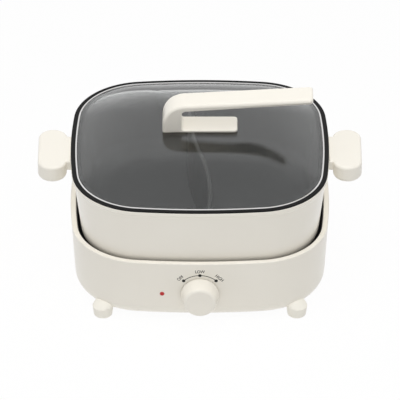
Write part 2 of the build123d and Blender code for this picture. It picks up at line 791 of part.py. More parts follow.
with BuildPart() as sensor_cap:
    with BuildSketch(Plane.XZ):
        with BuildLine():
            Polyline(
                (0, sensor_top_z - SENSOR_WALL),
                (SENSOR_R - SENSOR_WALL, sensor_top_z - SENSOR_WALL),
                (SENSOR_R - SENSOR_WALL, sensor_skirt_z),
                (sensor_flange_r, sensor_skirt_z),
                (sensor_flange_r, sensor_stop_z),
                (SENSOR_R, sensor_stop_z),
                (SENSOR_R, sensor_top_z),
                (0, sensor_top_z),
                close=True,
            )
        make_face()
    revolve(axis=Axis.Z)
keep(sensor_cap, "sensor_cap")

# Sensor spring: an open coil between the cup floor and the cap
spring_low_z = cup_floor_z + SPRING_WIRE_R
spring_height = sensor_top_z - SENSOR_WALL - SPRING_WIRE_R - spring_low_z
with BuildPart() as sensor_spring:
    with BuildLine(Plane.XY.offset(spring_low_z)) as coil:
        Helix(pitch=spring_height / SPRING_TURNS, height=spring_height, radius=SPRING_COIL_R)
    with BuildSketch(Plane(origin=coil.line @ 0, z_dir=coil.line % 0)):
        Circle(SPRING_WIRE_R)
    sweep(is_frenet=True)
keep(sensor_spring, "sensor_spring")

# Thermostat: a boxed switch behind the front wall on a flat bracket, which two screws hold to the posts
with BuildPart() as thermostat_bracket:
    with BuildSketch(front_plane(thermostat_front_y)):
        with Locations((0, KNOB_Z)):
            RectangleRounded(2 * BRACKET_HALF_WIDTH, BRACKET_HEIGHT, BRACKET_CORNER_R)
            Circle(SHAFT_R + SHAFT_WALL_GAP, mode=Mode.SUBTRACT)
        with Locations(*post_places):
            Circle(SCREW_R + SCREW_GAP, mode=Mode.SUBTRACT)
    extrude(amount=BRACKET_SHEET)
keep(thermostat_bracket, "thermostat_bracket")

with BuildPart() as thermostat_screws:
    add(cross_screws(thermostat_front_y, post_places, SCREW_LENGTH))
keep(thermostat_screws, "thermostat_screws")

with BuildPart() as thermostat_body:
    with BuildSketch(front_plane(thermostat_back_y)):
        with Locations((0, (THERMOSTAT_TOP_Z + THERMOSTAT_BOTTOM_Z) / 2)):
            RectangleRounded(THERMOSTAT_WIDTH, THERMOSTAT_TOP_Z - THERMOSTAT_BOTTOM_Z, THERMOSTAT_CORNER_R)
    extrude(amount=thermostat_back_y - thermostat_front_y)
    add(
        cross_rod(SHAFT_R + SHAFT_FIT, thermostat_front_y + SHAFT_HOLD, SHAFT_HOLD, [(0, KNOB_Z)]),
        mode=Mode.SUBTRACT,
    )
    add(cross_rod(TAB_R, thermostat_back_y + TAB_LENGTH, TAB_LENGTH, tab_places))
keep(thermostat_body, "thermostat_body")

# Knob shaft: a round steel rod from the thermostat into the knob
shaft_back_y = thermostat_front_y + SHAFT_HOLD - SHAFT_FIT
with BuildPart() as knob_shaft:
    add(cross_rod(SHAFT_R, shaft_back_y, shaft_back_y - knob_back_y + KNOB_BORE_DEPTH, [(0, KNOB_Z)]))
keep(knob_shaft, "knob_shaft")

# Knob: a plain tapered button with a soft face edge, bored for the shaft
with BuildPart() as knob:
    with BuildSketch(Plane.YZ):
        with BuildLine():
            Polyline(
                (knob_back_y, KNOB_Z),
                (knob_back_y, KNOB_Z + KNOB_R),
                (knob_back_y - KNOB_SKIRT, KNOB_Z + KNOB_R),
                (knob_face_y, KNOB_Z + KNOB_FACE_R),
                (knob_face_y, KNOB_Z),
                close=True,
            )
        make_face()
    revolve(axis=Axis((0, 0, KNOB_Z), (0, 1, 0)))
    rims = knob.edges().filter_by(GeomType.CIRCLE).sort_by(Axis.Y)
    fillet(rims[0], KNOB_FACE_ROUND)
    back_rim = knob.edges().filter_by(GeomType.CIRCLE).sort_by(Axis.Y)[-1]
    fillet(back_rim, KNOB_BACK_ROUND)
    add(
        cross_rod(SHAFT_R + SHAFT_FIT, knob_back_y, KNOB_BORE_DEPTH + SHAFT_FIT, [(0, KNOB_Z)]),
        mode=Mode.SUBTRACT,
    )
keep(knob, "knob")

# Indicator: a red lens through the wall, clipped by a holder that carries a small neon lamp
lens_flange_y = lamp_seat_y + LENS_FLANGE_THICKNESS
with BuildPart() as indicator_lens:
    add(cross_rod(LENS_FLANGE_R, lens_flange_y, LENS_FLANGE_THICKNESS, [(LAMP_X, LAMP_Z)]))
    add(cross_rod(LENS_R, lamp_seat_y, lamp_seat_y - lamp_wall_y + LENS_PROUD, [(LAMP_X, LAMP_Z)]))
    fillet(indicator_lens.edges().filter_by(GeomType.CIRCLE).sort_by(Axis.Y)[0], LENS_ROUND)
keep(indicator_lens, "indicator_lens")

holder_back_y = lamp_seat_y + HOLDER_LENGTH
with BuildPart() as lamp_holder:
    add(cross_rod(HOLDER_R, holder_back_y, HOLDER_LENGTH, [(LAMP_X, LAMP_Z)]))
    add(
        cross_rod(LENS_FLANGE_R + LENS_GAP, lens_flange_y, LENS_FLANGE_THICKNESS, [(LAMP_X, LAMP_Z)]),
        mode=Mode.SUBTRACT,
    )
    add(
        cross_rod(LAMP_R + LENS_GAP, holder_back_y - HOLDER_WALL, HOLDER_LENGTH, [(LAMP_X, LAMP_Z)]),
        mode=Mode.SUBTRACT,
    )
keep(lamp_holder, "lamp_holder")

with BuildPart() as indicator_lamp:
    lamp_back_y = holder_back_y - HOLDER_WALL
    add(cross_rod(LAMP_R, lamp_back_y, lamp_back_y - lens_flange_y, [(LAMP_X, LAMP_Z)]))
keep(indicator_lamp, "indicator_lamp")

# Power inlet: a recessed socket through the back wall, screwed from inside by its flange
with BuildPart() as inlet_housing:
    with BuildSketch(front_plane(inlet_back_y)):
        with Locations((0, INLET_Z)):
            RectangleRounded(INLET_WIDTH, INLET_HEIGHT, INLET_CORNER_R)
    extrude(amount=-INLET_DEPTH)
    with BuildSketch(front_plane(inlet_seat_y)):
        with Locations((0, INLET_Z)):
            RectangleRounded(INLET_FLANGE_WIDTH, INLET_HEIGHT, INLET_CORNER_R)
        with Locations(*inlet_screw_places):
            Circle(SCREW_R + SCREW_GAP, mode=Mode.SUBTRACT)
    extrude(amount=INLET_FLANGE_THICKNESS)
    with BuildSketch(front_plane(socket_floor_y)):
        with Locations((0, INLET_Z)):
            RectangleRounded(INLET_WIDTH - 2 * INLET_WALL, INLET_HEIGHT - 2 * INLET_WALL, INLET_CORNER_R)
    extrude(amount=-INLET_SOCKET_DEPTH, mode=Mode.SUBTRACT)
    with BuildSketch(front_plane(inlet_back_y)):
        with Locations(*pin_places):
            Rectangle(PIN_THICKNESS + 2 * PIN_GAP, PIN_WIDTH + 2 * PIN_GAP)
    extrude(amount=inlet_back_y - socket_floor_y, mode=Mode.SUBTRACT)
keep(inlet_housing, "inlet_housing")

with BuildPart() as inlet_pins:
    with BuildSketch(front_plane(pin_tail_y)):
        with Locations(*pin_places):
            Rectangle(PIN_THICKNESS, PIN_WIDTH)
    extrude(amount=pin_tail_y - socket_floor_y - PIN_REACH)
keep(inlet_pins, "inlet_pins")

with BuildPart() as inlet_screws:
    add(cross_screws(inlet_seat_y - INLET_FLANGE_THICKNESS, inlet_screw_places, SCREW_LENGTH, forward=False))
keep(inlet_screws, "inlet_screws")

# Thermal fuse: a flat-topped sleeve against the underside of the shield, in the live lead
fuse_z = shield_floor_z - FUSE_R
with BuildPart() as thermal_fuse:
    with BuildSketch(front_plane(FUSE_Y + FUSE_LENGTH)):
        with Locations((FUSE_X, fuse_z)):
            Circle(FUSE_R)
        with Locations((FUSE_X, fuse_z + FUSE_R / 2)):
            Rectangle(2 * FUSE_R, FUSE_R)
    extrude(amount=FUSE_LENGTH)
keep(thermal_fuse, "thermal_fuse")

# Leads: live goes through the fuse to the thermostat, then to one end of the element
fuse_back_y = FUSE_Y + FUSE_LENGTH
tab_tip_y = thermostat_back_y + TAB_LENGTH
pin_z = INLET_Z - PIN_DROP
with BuildPart() as lead_live_in:
    add(
        lead(
            [
                (-PIN_X, pin_tail_y, pin_z),
                (-PIN_X, pin_tail_y - LEAD_STUB, pin_z),
                (FUSE_X, fuse_back_y + LEAD_STUB, fuse_z),
                (FUSE_X, fuse_back_y, fuse_z),
            ]
        )
    )
keep(lead_live_in, "lead_live_in")

with BuildPart() as lead_live_out:
    add(
        lead(
            [
                (FUSE_X, FUSE_Y, fuse_z),
                (FUSE_X, FUSE_Y - LEAD_STUB, fuse_z),
                (LIVE_BOW_X, switched_bow_y, LEAD_LOW_Z),
                (-TAB_X, tab_tip_y + LEAD_STUB, TAB_Z),
                (-TAB_X, tab_tip_y, TAB_Z),
            ]
        )
    )
keep(lead_live_out, "lead_live_out")

with BuildPart() as lead_switched:
    add(
        lead(
            [
                (TAB_X, tab_tip_y, TAB_Z),
                (TAB_X, tab_tip_y + LEAD_STUB, TAB_Z),
                (SWITCHED_BOW_X, switched_bow_y, LEAD_LOW_Z),
                (terminal_places[1][0], terminal_places[1][1] - 2 * LEAD_STUB, LEAD_LOW_Z),
                (terminal_places[1][0], terminal_places[1][1], terminal_tip_z - LEAD_STUB),
                (terminal_places[1][0], terminal_places[1][1], terminal_tip_z),
            ]
        )
    )
keep(lead_switched, "lead_switched")

with BuildPart() as lead_neutral:
    add(
        lead(
            [
                (PIN_X, pin_tail_y, pin_z),
                (PIN_X, pin_tail_y - LEAD_STUB, pin_z),
                (terminal_places[0][0], terminal_places[0][1], terminal_tip_z - LEAD_STUB),
                (terminal_places[0][0], terminal_places[0][1], terminal_tip_z),
            ]
        )
    )
keep(lead_neutral, "lead_neutral")

with BuildPart() as lead_earth:
    add(
        lead(
            [
                (0, pin_tail_y, INLET_Z + PIN_RISE),
                (0, pin_tail_y - LEAD_STUB / 2, INLET_Z + PIN_RISE),
                (EARTH_X, earth_y, shield_floor_z - LEAD_STUB),
                (EARTH_X, earth_y, shield_floor_z),
            ]
        )
    )
keep(lead_earth, "lead_earth")

# Pot: a die-cast aluminium tub with a flared lip, a ledge for the lid and a lug for each side grip
lug_top_z = grip_top_z - LUG_DROP
lug_under_z = lug_top_z - LUG_THICKNESS
lug_root_x = LIP_HALF_WIDTH - pot_inset(lug_under_z) - LUG_ROOT
grip_inner_x = LIP_HALF_WIDTH + GRIP_INNER_GAP
lug_tip_x = grip_inner_x + LUG_REACH
lug_mid_x = (lug_root_x + lug_tip_x) / 2
grip_screw_x = grip_inner_x + GRIP_SCREW_REACH
grip_screw_places = [(side * grip_screw_x, end * GRIP_SCREW_Y) for side in (1, -1) for end in (1, -1)]
with BuildPart() as pot_body:
    add(pot_block(0))
    with BuildSketch(Plane.XY.offset(lug_under_z)):
        for side in (1, -1):
            with Locations((side * lug_mid_x, 0)):
                Rectangle(lug_tip_x - lug_root_x, LUG_LENGTH)
    extrude(amount=LUG_THICKNESS)
    fillet(pot_body.faces().sort_by(Axis.Z)[-1].edges(), LIP_ROUND)
    with BuildSketch(Plane.XY.offset(ledge_z)):
        add(outline(LEDGE_INSET))
    extrude(amount=LEDGE_DEPTH, mode=Mode.SUBTRACT)
    add(pot_cavity(), mode=Mode.SUBTRACT)
    add(rod(POT_DIMPLE_R, seat_z, SENSOR_PROUD + SENSOR_ROOM, [(0, 0)]), mode=Mode.SUBTRACT)
    add(
        rod(SCREW_R + SCREW_GAP, lug_under_z, GRIP_SCREW_BITE + SCREW_GAP, grip_screw_places),
        mode=Mode.SUBTRACT,
    )
keep(pot_body, "pot_body")

# Divider: an S-shaped wall of two mirrored arcs that parts the pot into two compartments
divider_top_z = lip_z - DIVIDER_TOP_DROP
with BuildPart() as pot_divider:
    with BuildSketch(Plane.XY.offset(seat_z)):
        with BuildLine():
            ThreePointArc((DIVIDER_END_X, -LIP_HALF_DEPTH), (DIVIDER_SWAY, -DIVIDER_SWAY_Y), (0, 0))
            ThreePointArc((0, 0), (-DIVIDER_SWAY, DIVIDER_SWAY_Y), (-DIVIDER_END_X, LIP_HALF_DEPTH))
            offset(amount=DIVIDER_THICKNESS / 2, side=Side.BOTH)
        make_face()
    extrude(amount=divider_top_z - seat_z)
    long_edges = pot_divider.faces().sort_by(Axis.Z)[-1].edges()
    fillet(long_edges, DIVIDER_ROUND)
    add(pot_mould(), mode=Mode.SUBTRACT)
keep(pot_divider, "pot_divider")

# Side grips: moulded bars with a neck that slips over the lug, screwed from below
grip_mid_x = grip_inner_x + GRIP_WIDTH / 2
grip_bottom_z = grip_top_z - GRIP_HEIGHT
neck_root_x = LIP_HALF_WIDTH - POT_TOP_INSET
lug_pocket = LUG_THICKNESS + 2 * LUG_GAP
right_screw_places = [place for place in grip_screw_places if place[0] > 0]
with BuildPart() as side_grip_right:
    with BuildSketch(Plane.XY.offset(grip_bottom_z)):
        with Locations((grip_mid_x, 0)):
            RectangleRounded(GRIP_WIDTH, GRIP_LENGTH, GRIP_CORNER_R)
    extrude(amount=GRIP_HEIGHT)
    fillet(side_grip_right.faces().sort_by(Axis.Z)[-1].edges(), GRIP_TOP_ROUND)
    fillet(side_grip_right.faces().sort_by(Axis.Z)[0].edges(), GRIP_BOTTOM_ROUND)
    with BuildSketch(Plane.YZ.offset(neck_root_x)):
        with Locations((0, grip_top_z - NECK_HEIGHT / 2)):
            RectangleRounded(NECK_LENGTH, NECK_HEIGHT, NECK_ROUND)
    extrude(amount=grip_mid_x - neck_root_x)
    add(pot_block(NECK_WALL_GAP), mode=Mode.SUBTRACT)
    with BuildSketch(Plane.YZ.offset(neck_root_x)):
        with Locations((0, lug_top_z - LUG_THICKNESS / 2)):
            Rectangle(LUG_LENGTH + 2 * LUG_GAP, lug_pocket)
    extrude(amount=lug_tip_x + LUG_GAP - neck_root_x, mode=Mode.SUBTRACT)
    add(
        rod(SCREW_R + SCREW_GAP, grip_bottom_z, lug_under_z - grip_bottom_z, right_screw_places),
        mode=Mode.SUBTRACT,
    )
    add(
        rod(SCREW_HEAD_R + SCREW_GAP, grip_bottom_z, SCREW_HEAD_HEIGHT, right_screw_places),
        mode=Mode.SUBTRACT,
    )
keep(side_grip_right, "side_grip_right")

with BuildPart() as side_grip_left:
    add(mirror(side_grip_right.part, about=Plane.YZ, mode=Mode.PRIVATE))
keep(side_grip_left, "side_grip_left")

with BuildPart() as grip_screws:
    screw_seat_z = grip_bottom_z + SCREW_HEAD_HEIGHT
    add(screws(screw_seat_z, grip_screw_places, lug_under_z + GRIP_SCREW_BITE - screw_seat_z))
keep(grip_screws, "grip_screws")

# Lid seal: a soft angle-section ring round the lid, which rests on the pot's ledge
with BuildPart() as lid_seal:
    add(ring(LEDGE_INSET + SEAL_GAP, LID_INSET + BAND_SEAT, ledge_z, SEAL_FOOT))
    add(ring(LEDGE_INSET + SEAL_GAP, LID_INSET - SEAL_GAP, ledge_z, SEAL_HEIGHT))
    fillet(lid_seal.faces().sort_by(Axis.Z)[-1].outer_wire().edges(), SEAL_ROUND)
keep(lid_seal, "lid_seal")

# Lid rim: a rolled steel channel round the edge of the glass, which stands in the seal
with BuildPart() as lid_rim:
    add(ring(LID_INSET, LID_INSET + BAND_SEAT, lid_z, BAND_SHEET))
    add(ring(LID_INSET, LID_INSET + BAND_WALL, lid_z, BAND_HEIGHT))
    add(ring(LID_INSET, LID_INSET + BAND_WIDTH, dome_base_z, BAND_HEIGHT - GLASS_THICKNESS - BAND_SHEET))
    fillet(lid_rim.faces().sort_by(Axis.Z)[-1].edges(), BAND_ROUND)
keep(lid_rim, "lid_rim")

# Lid glass: a tempered pane with a flat edge, crowned to a flat middle with two holes for the handle
glass_inset = LID_INSET + BAND_WALL + GLASS_GAP
handle_screw_places = [(-HANDLE_SCREW_X, 0), (HANDLE_SCREW_X, 0)]
with BuildPart() as lid_glass:
    with BuildSketch(Plane.XY.offset(glass_under_z)):
        add(outline(glass_inset))
    extrude(amount=GLASS_THICKNESS)
    add(dome(LID_INSET + BAND_WIDTH, dome_base_z))
    add(dome(glass_inset + GLASS_EDGE, glass_under_z), mode=Mode.SUBTRACT)
    add(
        rod(HANDLE_BOSS_R + HANDLE_BOSS_GAP, crown_under_z - OVERRUN, DOME_RISE, handle_screw_places),
        mode=Mode.SUBTRACT,
    )
keep(lid_glass, "lid_glass")

# Lid handle: one moulding with a foot on the glass, a leg at the left and a long grip over to the right
leg_inner_x = HANDLE_LEFT_X + HANDLE_LEG
with BuildPart() as lid_handle:
    with BuildSketch(Plane.XZ) as side_view:
        with BuildLine():
            Polyline(
                (HANDLE_LEFT_X, dome_top_z),
                (HANDLE_FOOT_RIGHT_X, dome_top_z),
                (HANDLE_FOOT_RIGHT_X, dome_top_z + HANDLE_FOOT_HEIGHT),
                (leg_inner_x, dome_top_z + HANDLE_FOOT_HEIGHT),
                (leg_inner_x, dome_top_z + GRIP_UNDER_LEFT),
                (HANDLE_TIP_X, dome_top_z + GRIP_UNDER_TIP),
                (HANDLE_TIP_X, dome_top_z + GRIP_OVER_TIP),
                (HANDLE_LEFT_X, dome_top_z + GRIP_OVER_LEFT),
                close=True,
            )
        make_face()
        corners = side_view.vertices()
        left_corners = corners.group_by(Axis.X)[0]
        inner_corners = corners.group_by(Axis.X)[1]
        tip_corners = corners.group_by(Axis.X)[-1]
        foot_end = corners.group_by(Axis.X)[-2].sort_by(Axis.Y)[-1]
        fillet(left_corners.sort_by(Axis.Y)[-1], HANDLE_ELBOW_R)
        fillet(inner_corners.sort_by(Axis.Y)[0], HANDLE_CROOK_R)
        fillet(inner_corners.sort_by(Axis.Y)[-1], HANDLE_INNER_R)
        fillet(tip_corners, HANDLE_TIP_R)
        fillet(foot_end, HANDLE_FOOT_END_R)
    extrude(amount=HANDLE_WIDTH / 2, both=True)
    fillet(lid_handle.faces().filter_by(Axis.Y).edges(), HANDLE_EDGE_R)
    add(rod(HANDLE_BOSS_R, dome_top_z - HANDLE_BOSS_DROP, HANDLE_BOSS_DROP, handle_screw_places))
    add(
        rod(
            SCREW_R + SCREW_GAP,
            dome_top_z - HANDLE_BOSS_DROP,
            HANDLE_SCREW_BITE + SCREW_GAP,
            handle_screw_places,
        ),
        mode=Mode.SUBTRACT,
    )
keep(lid_handle, "lid_handle")

# Handle screws and their soft washers under the glass
washer_under_z = crown_under_z - WASHER_THICKNESS
with BuildPart() as handle_washers:
    with BuildSketch(Plane.XY.offset(washer_under_z)):
        with Locations(*handle_screw_places):
            Circle(WASHER_R)
            Circle(SCREW_R + SCREW_GAP, mode=Mode.SUBTRACT)
    extrude(amount=WASHER_THICKNESS)
keep(handle_washers, "handle_washers")

with BuildPart() as handle_screws:
    boss_under_z = dome_top_z - HANDLE_BOSS_DROP
    add(screws(washer_under_z, handle_screw_places, boss_under_z + HANDLE_SCREW_BITE - washer_under_z))
keep(handle_screws, "handle_screws")
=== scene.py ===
import bmesh
import bpy
import numpy as np
from math import atan2, cos, pi, radians, sin, sqrt
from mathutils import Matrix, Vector


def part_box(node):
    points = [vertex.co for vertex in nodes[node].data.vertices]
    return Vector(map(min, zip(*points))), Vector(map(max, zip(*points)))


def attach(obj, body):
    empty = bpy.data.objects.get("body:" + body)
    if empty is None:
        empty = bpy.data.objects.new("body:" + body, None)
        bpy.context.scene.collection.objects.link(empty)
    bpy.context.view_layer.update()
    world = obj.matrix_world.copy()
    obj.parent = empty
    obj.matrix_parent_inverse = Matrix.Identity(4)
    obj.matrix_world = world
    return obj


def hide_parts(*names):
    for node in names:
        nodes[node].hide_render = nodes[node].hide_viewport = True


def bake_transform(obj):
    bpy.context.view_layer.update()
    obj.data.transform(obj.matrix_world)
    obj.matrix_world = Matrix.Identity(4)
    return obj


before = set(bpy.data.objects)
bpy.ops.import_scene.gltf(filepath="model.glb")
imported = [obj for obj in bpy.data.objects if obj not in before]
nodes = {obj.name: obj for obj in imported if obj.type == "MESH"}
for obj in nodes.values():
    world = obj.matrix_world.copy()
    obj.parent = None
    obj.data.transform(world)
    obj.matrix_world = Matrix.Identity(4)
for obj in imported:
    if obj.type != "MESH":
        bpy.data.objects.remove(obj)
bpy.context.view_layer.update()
scene = bpy.context.scene

# Studio: a pale floor that runs into a white surround, with the camera above the front.
# A broad lamp hangs over the front, so upright faces stay a shade darker than level ones.
# A second lamp casts no shadow, so what lies under the lid handle and along the base's rim stays light.
MM = 0.001  # lengths are written in millimetres, and the scene is in metres
CAMERA_TARGET = (0.13, 2.97, 77.46)
CAMERA_REACH = 6000.0
CAMERA_TILT = 33.93
CAMERA_LENS = 478.4
CAMERA_SENSOR = 36.0
FLOOR_REACH = 6000.0
FLOOR_DROP = 0.1
FLOOR_COLOUR = (0.9, 0.9, 0.9, 1)
FLOOR_GLOW_SHARE = 0.92
SURROUND_COLOUR = (1, 1, 1, 1)
SURROUND_LIGHT = 0.46
LAMPS = {
    "front_lamp": {"place": (-200.0, -600.0, 2100.0), "size": 2400.0, "power": 14.0, "shadow": True},
    "fill_lamp": {"place": (0, -300.0, 2100.0), "size": 1500.0, "power": 20.0, "shadow": False},
}

camera = bpy.data.objects.new("camera", bpy.data.cameras.new("camera"))
camera.data.lens = CAMERA_LENS
camera.data.sensor_width = CAMERA_SENSOR
sight = Vector((0, cos(radians(CAMERA_TILT)), -sin(radians(CAMERA_TILT))))
camera.location = (Vector(CAMERA_TARGET) - sight * CAMERA_REACH) * MM
camera.rotation_euler = sight.to_track_quat("-Z", "Y").to_euler()
scene.collection.objects.link(camera)
scene.camera = camera
scene.view_settings.view_transform = "Standard"

for name, facts in LAMPS.items():
    lamp = bpy.data.objects.new(name, bpy.data.lights.new(name, "AREA"))
    lamp.data.size = facts["size"] * MM
    lamp.data.energy = facts["power"]
    lamp.data.use_shadow = facts["shadow"]
    lamp.location = Vector(facts["place"]) * MM
    lamp.rotation_euler = (-Vector(facts["place"])).to_track_quat("-Z", "Y").to_euler()
    lamp.visible_glossy = False
    lamp.visible_transmission = False
    scene.collection.objects.link(lamp)


def seen_rays(tree):
    """One for rays that are seen, straight or by a mirror or glass, and zero for light on surfaces."""
    path = tree.nodes.new("ShaderNodeLightPath")
    seen = path.outputs["Is Camera Ray"]
    for flag in ("Is Glossy Ray", "Is Transmission Ray"):
        larger = tree.nodes.new("ShaderNodeMath")
        larger.operation = "MAXIMUM"
        tree.links.new(seen, larger.inputs[0])
        tree.links.new(path.outputs[flag], larger.inputs[1])
        seen = larger.outputs[0]
    return seen


def lit_or_seen(tree, share, lit, seen, output):
    """Two shaders mixed by a share: the first lights the object, and the second is what is seen."""
    mix = tree.nodes.new("ShaderNodeMixShader")
    tree.links.new(share, mix.inputs[0])
    tree.links.new(lit.outputs[0], mix.inputs[1])
    tree.links.new(seen.outputs[0], mix.inputs[2])
    tree.links.new(mix.outputs[0], tree.nodes.new(output).inputs[0])


surround = bpy.data.worlds.new("surround")
scene.world = surround
surround.use_nodes = True
tree = surround.node_tree
tree.nodes.clear()
dim = tree.nodes.new("ShaderNodeBackground")
dim.inputs["Strength"].default_value = SURROUND_LIGHT
white = tree.nodes.new("ShaderNodeBackground")
for light in (dim, white):
    light.inputs["Color"].default_value = SURROUND_COLOUR
lit_or_seen(tree, seen_rays(tree), dim, white, "ShaderNodeOutputWorld")

floor_mesh = bpy.data.meshes.new("floor")
floor_corners = np.array([[-1, -1, 0], [1, -1, 0], [1, 1, 0], [-1, 1, 0]]) * FLOOR_REACH - [0, 0, FLOOR_DROP]
floor_mesh.from_pydata((floor_corners * MM).tolist(), [], [(0, 1, 2, 3)])
floor = bpy.data.objects.new("floor", floor_mesh)
scene.collection.objects.link(floor)
floor_finish = bpy.data.materials.new("floor_paper")
floor_finish.use_nodes = True
tree = floor_finish.node_tree
tree.nodes.clear()
paper = tree.nodes.new("ShaderNodeBsdfDiffuse")
paper.inputs["Color"].default_value = FLOOR_COLOUR
glow = tree.nodes.new("ShaderNodeEmission")
glow_share = tree.nodes.new("ShaderNodeMath")
glow_share.operation = "MULTIPLY"
glow_share.inputs[1].default_value = FLOOR_GLOW_SHARE
tree.links.new(seen_rays(tree), glow_share.inputs[0])
lit_or_seen(tree, glow_share.outputs[0], paper, glow, "ShaderNodeOutputMaterial")
floor_mesh.materials.append(floor_finish)

# Base shell: one glossy cream moulding, drawn in towards the table, with a broad rim round the well.
# Its underside is recessed for a cover, and the back wall has an opening for the mains inlet.
LIP_HALF_WIDTH = 145.0
LIP_HALF_DEPTH = 136.0
FRONT_ARC_R = 700.0
SIDE_ARC_R = 675.0
CORNER_R = 80.0
LONG_ARC_STEPS = 20
CORNER_STEPS = 32
BASE_BOTTOM_Z = 8.5
BASE_TOP_Z = 84.8
BASE_BOTTOM_INSET = 4.5
BASE_TOP_INSET = 0.4
BASE_SIDE_SWELL = 1.015
BASE_EDGE_R = 18.0
BASE_WALL = 3.0
BASE_FLOOR_Z = 12.5
WELL_INSET = 6.6
RIM_UNDER_Z = 80.8
RIM_ROUND = 1.2
COVER_RECESS_INSET = 25.6
COVER_LEDGE_INSET = 32.0
COVER_TOP_Z = 10.5
EDGE_BREAK = 0.3
INLET_OPENING = (27.6, 20.1, 3.0)
INLET_Z = 32.5
INLET_CUT_Y = (118.0, 145.0)
SHARP_ANGLE = 38.0
ROUND_STEPS = 7
WIDE_ROUND_STEPS = 12
BOX_STEPS = 10
SLAB_STEPS = 6
CODE_LIMIT = 255
CODE_FOOT = 0.04045
CODE_FOOT_SLOPE = 12.92
CODE_OFFSET = 0.055
CODE_POWER = 2.4
CLOUD_SIZE = 60.0
CLOUD_DETAIL = 3.0
GRAIN_DETAIL = 2.0
COAT_ROUGHNESS = 0.12
CREAM_COLOURS = {"codes": (240, 236, 226), "deep_codes": (236, 231, 220)}
CREAM_GLOSS_LOOK = dict(**CREAM_COLOURS, roughness=0.3, spread=0.05, grain=1.6, depth=0.012, coat=0.15)


def plan_path():
    """Points and outward normals round the pot's plan: eight arcs that meet tangentially, in even steps."""
    back_centre = np.array([0, LIP_HALF_DEPTH - FRONT_ARC_R])
    side_centre = np.array([LIP_HALF_WIDTH - SIDE_ARC_R, 0])
    span = side_centre - back_centre
    length = np.hypot(*span)
    back_reach = FRONT_ARC_R - CORNER_R
    side_reach = SIDE_ARC_R - CORNER_R
    along = (back_reach**2 - side_reach**2 + length**2) / (2 * length)
    across = sqrt(back_reach**2 - along**2)
    unit = span / length
    corner = back_centre + unit * along + np.array([unit[1], -unit[0]]) * across
    side_join = atan2(*(corner - side_centre)[::-1])
    back_join = atan2(*(corner - back_centre)[::-1])
    mirror = np.array([-1, 1])
    arcs = []
    for turn, flip in ((0, 1), (pi, -1)):
        arcs += [
            (side_centre * flip, SIDE_ARC_R, turn - side_join, turn + side_join, LONG_ARC_STEPS),
            (corner * flip, CORNER_R, turn + side_join, turn + back_join, CORNER_STEPS),
            (back_centre * flip, FRONT_ARC_R, turn + back_join, turn + pi - back_join, LONG_ARC_STEPS),
            (corner * mirror * flip, CORNER_R, turn + pi - back_join, turn + pi - side_join, CORNER_STEPS),
        ]
    points, normals = [], []
    for centre, radius, start, stop, steps in arcs:
        angle = np.linspace(start, stop, steps, endpoint=False)
        out = np.column_stack((np.cos(angle), np.sin(angle)))
        points.append(centre + radius * out)
        normals.append(out)
    return np.vstack(points), np.vstack(normals)


plan_points, plan_normals = plan_path()


def rounded(corners, steps=ROUND_STEPS):
    """A profile with rounded corners: each corner is a point with a radius. An arc takes its place, swung
    from one side's touching point to the other's."""
    places = np.array([corner[:2] for corner in corners], float)
    before = np.roll(places, 1, axis=0)
    after = np.roll(places, -1, axis=0)
    rows = []
    for place, last, following, radius in zip(places, before, after, [corner[2] for corner in corners]):
        if radius == 0:
            rows.append(place[None])
            continue
        back = (last - place) / np.hypot(*(last - place))
        ahead = (following - place) / np.hypot(*(following - place))
        half = np.arccos(np.clip(back @ ahead, -1, 1)) / 2
        middle = place + (back + ahead) / np.hypot(*(back + ahead)) * radius / sin(half)
        first = place + back * radius / np.tan(half) - middle
        final = place + ahead * radius / np.tan(half) - middle
        swing = pi - 2 * half
        share = np.linspace(0, 1, steps)[:, None]
        arc = np.sin((1 - share) * swing) * first + np.sin(share * swing) * final
        rows.append(middle + arc / sin(swing))
    return np.vstack(rows)


def swept(profile):
    """Insets and heights carried round the plan: each row is the plan moved in by an inset, at a height."""
    inset, height = np.asarray(profile, float).T
    plan = plan_points[None] - plan_normals[None] * inset[:, None, None]
    return np.dstack((plan, np.broadcast_to(height[:, None, None], (*plan.shape[:2], 1))))


def slab(outline, low, high, low_round=0, high_round=0, order=(0, 1, 2), steps=SLAB_STEPS):
    """An outline raised from low to high with rounded edges: each row is the outline drawn in along its own
    normals by a quarter circle's run, at that quarter circle's height."""
    ahead = np.roll(outline, -1, axis=0) - np.roll(outline, 1, axis=0)
    out = np.column_stack((ahead[:, 1], -ahead[:, 0])) / np.hypot(*ahead.T)[:, None]
    swing = np.linspace(0, pi / 2, steps)[:, None]
    level = np.zeros(len(outline))
    low_inset = low_round * (1 - np.sin(swing)) + level
    low_height = low + low_round * (1 - np.cos(swing)) + level
    high_inset = high_round * (1 - np.cos(swing)) + level
    high_height = high - high_round * (1 - np.sin(swing)) + level
    plan = outline[None] - out[None] * np.vstack((low_inset, high_inset))[..., None]
    return np.dstack((plan, np.vstack((low_height, high_height))))[..., list(order)]


def box_outline(width, depth, radius, middle=(0, 0), steps=BOX_STEPS):
    """A rounded rectangle about a middle point, run round anticlockwise."""
    x, y = middle
    corners = [(1, -1), (1, 1), (-1, 1), (-1, -1)]
    return rounded([(x + a * width / 2, y + b * depth / 2, radius) for a, b in corners], steps)


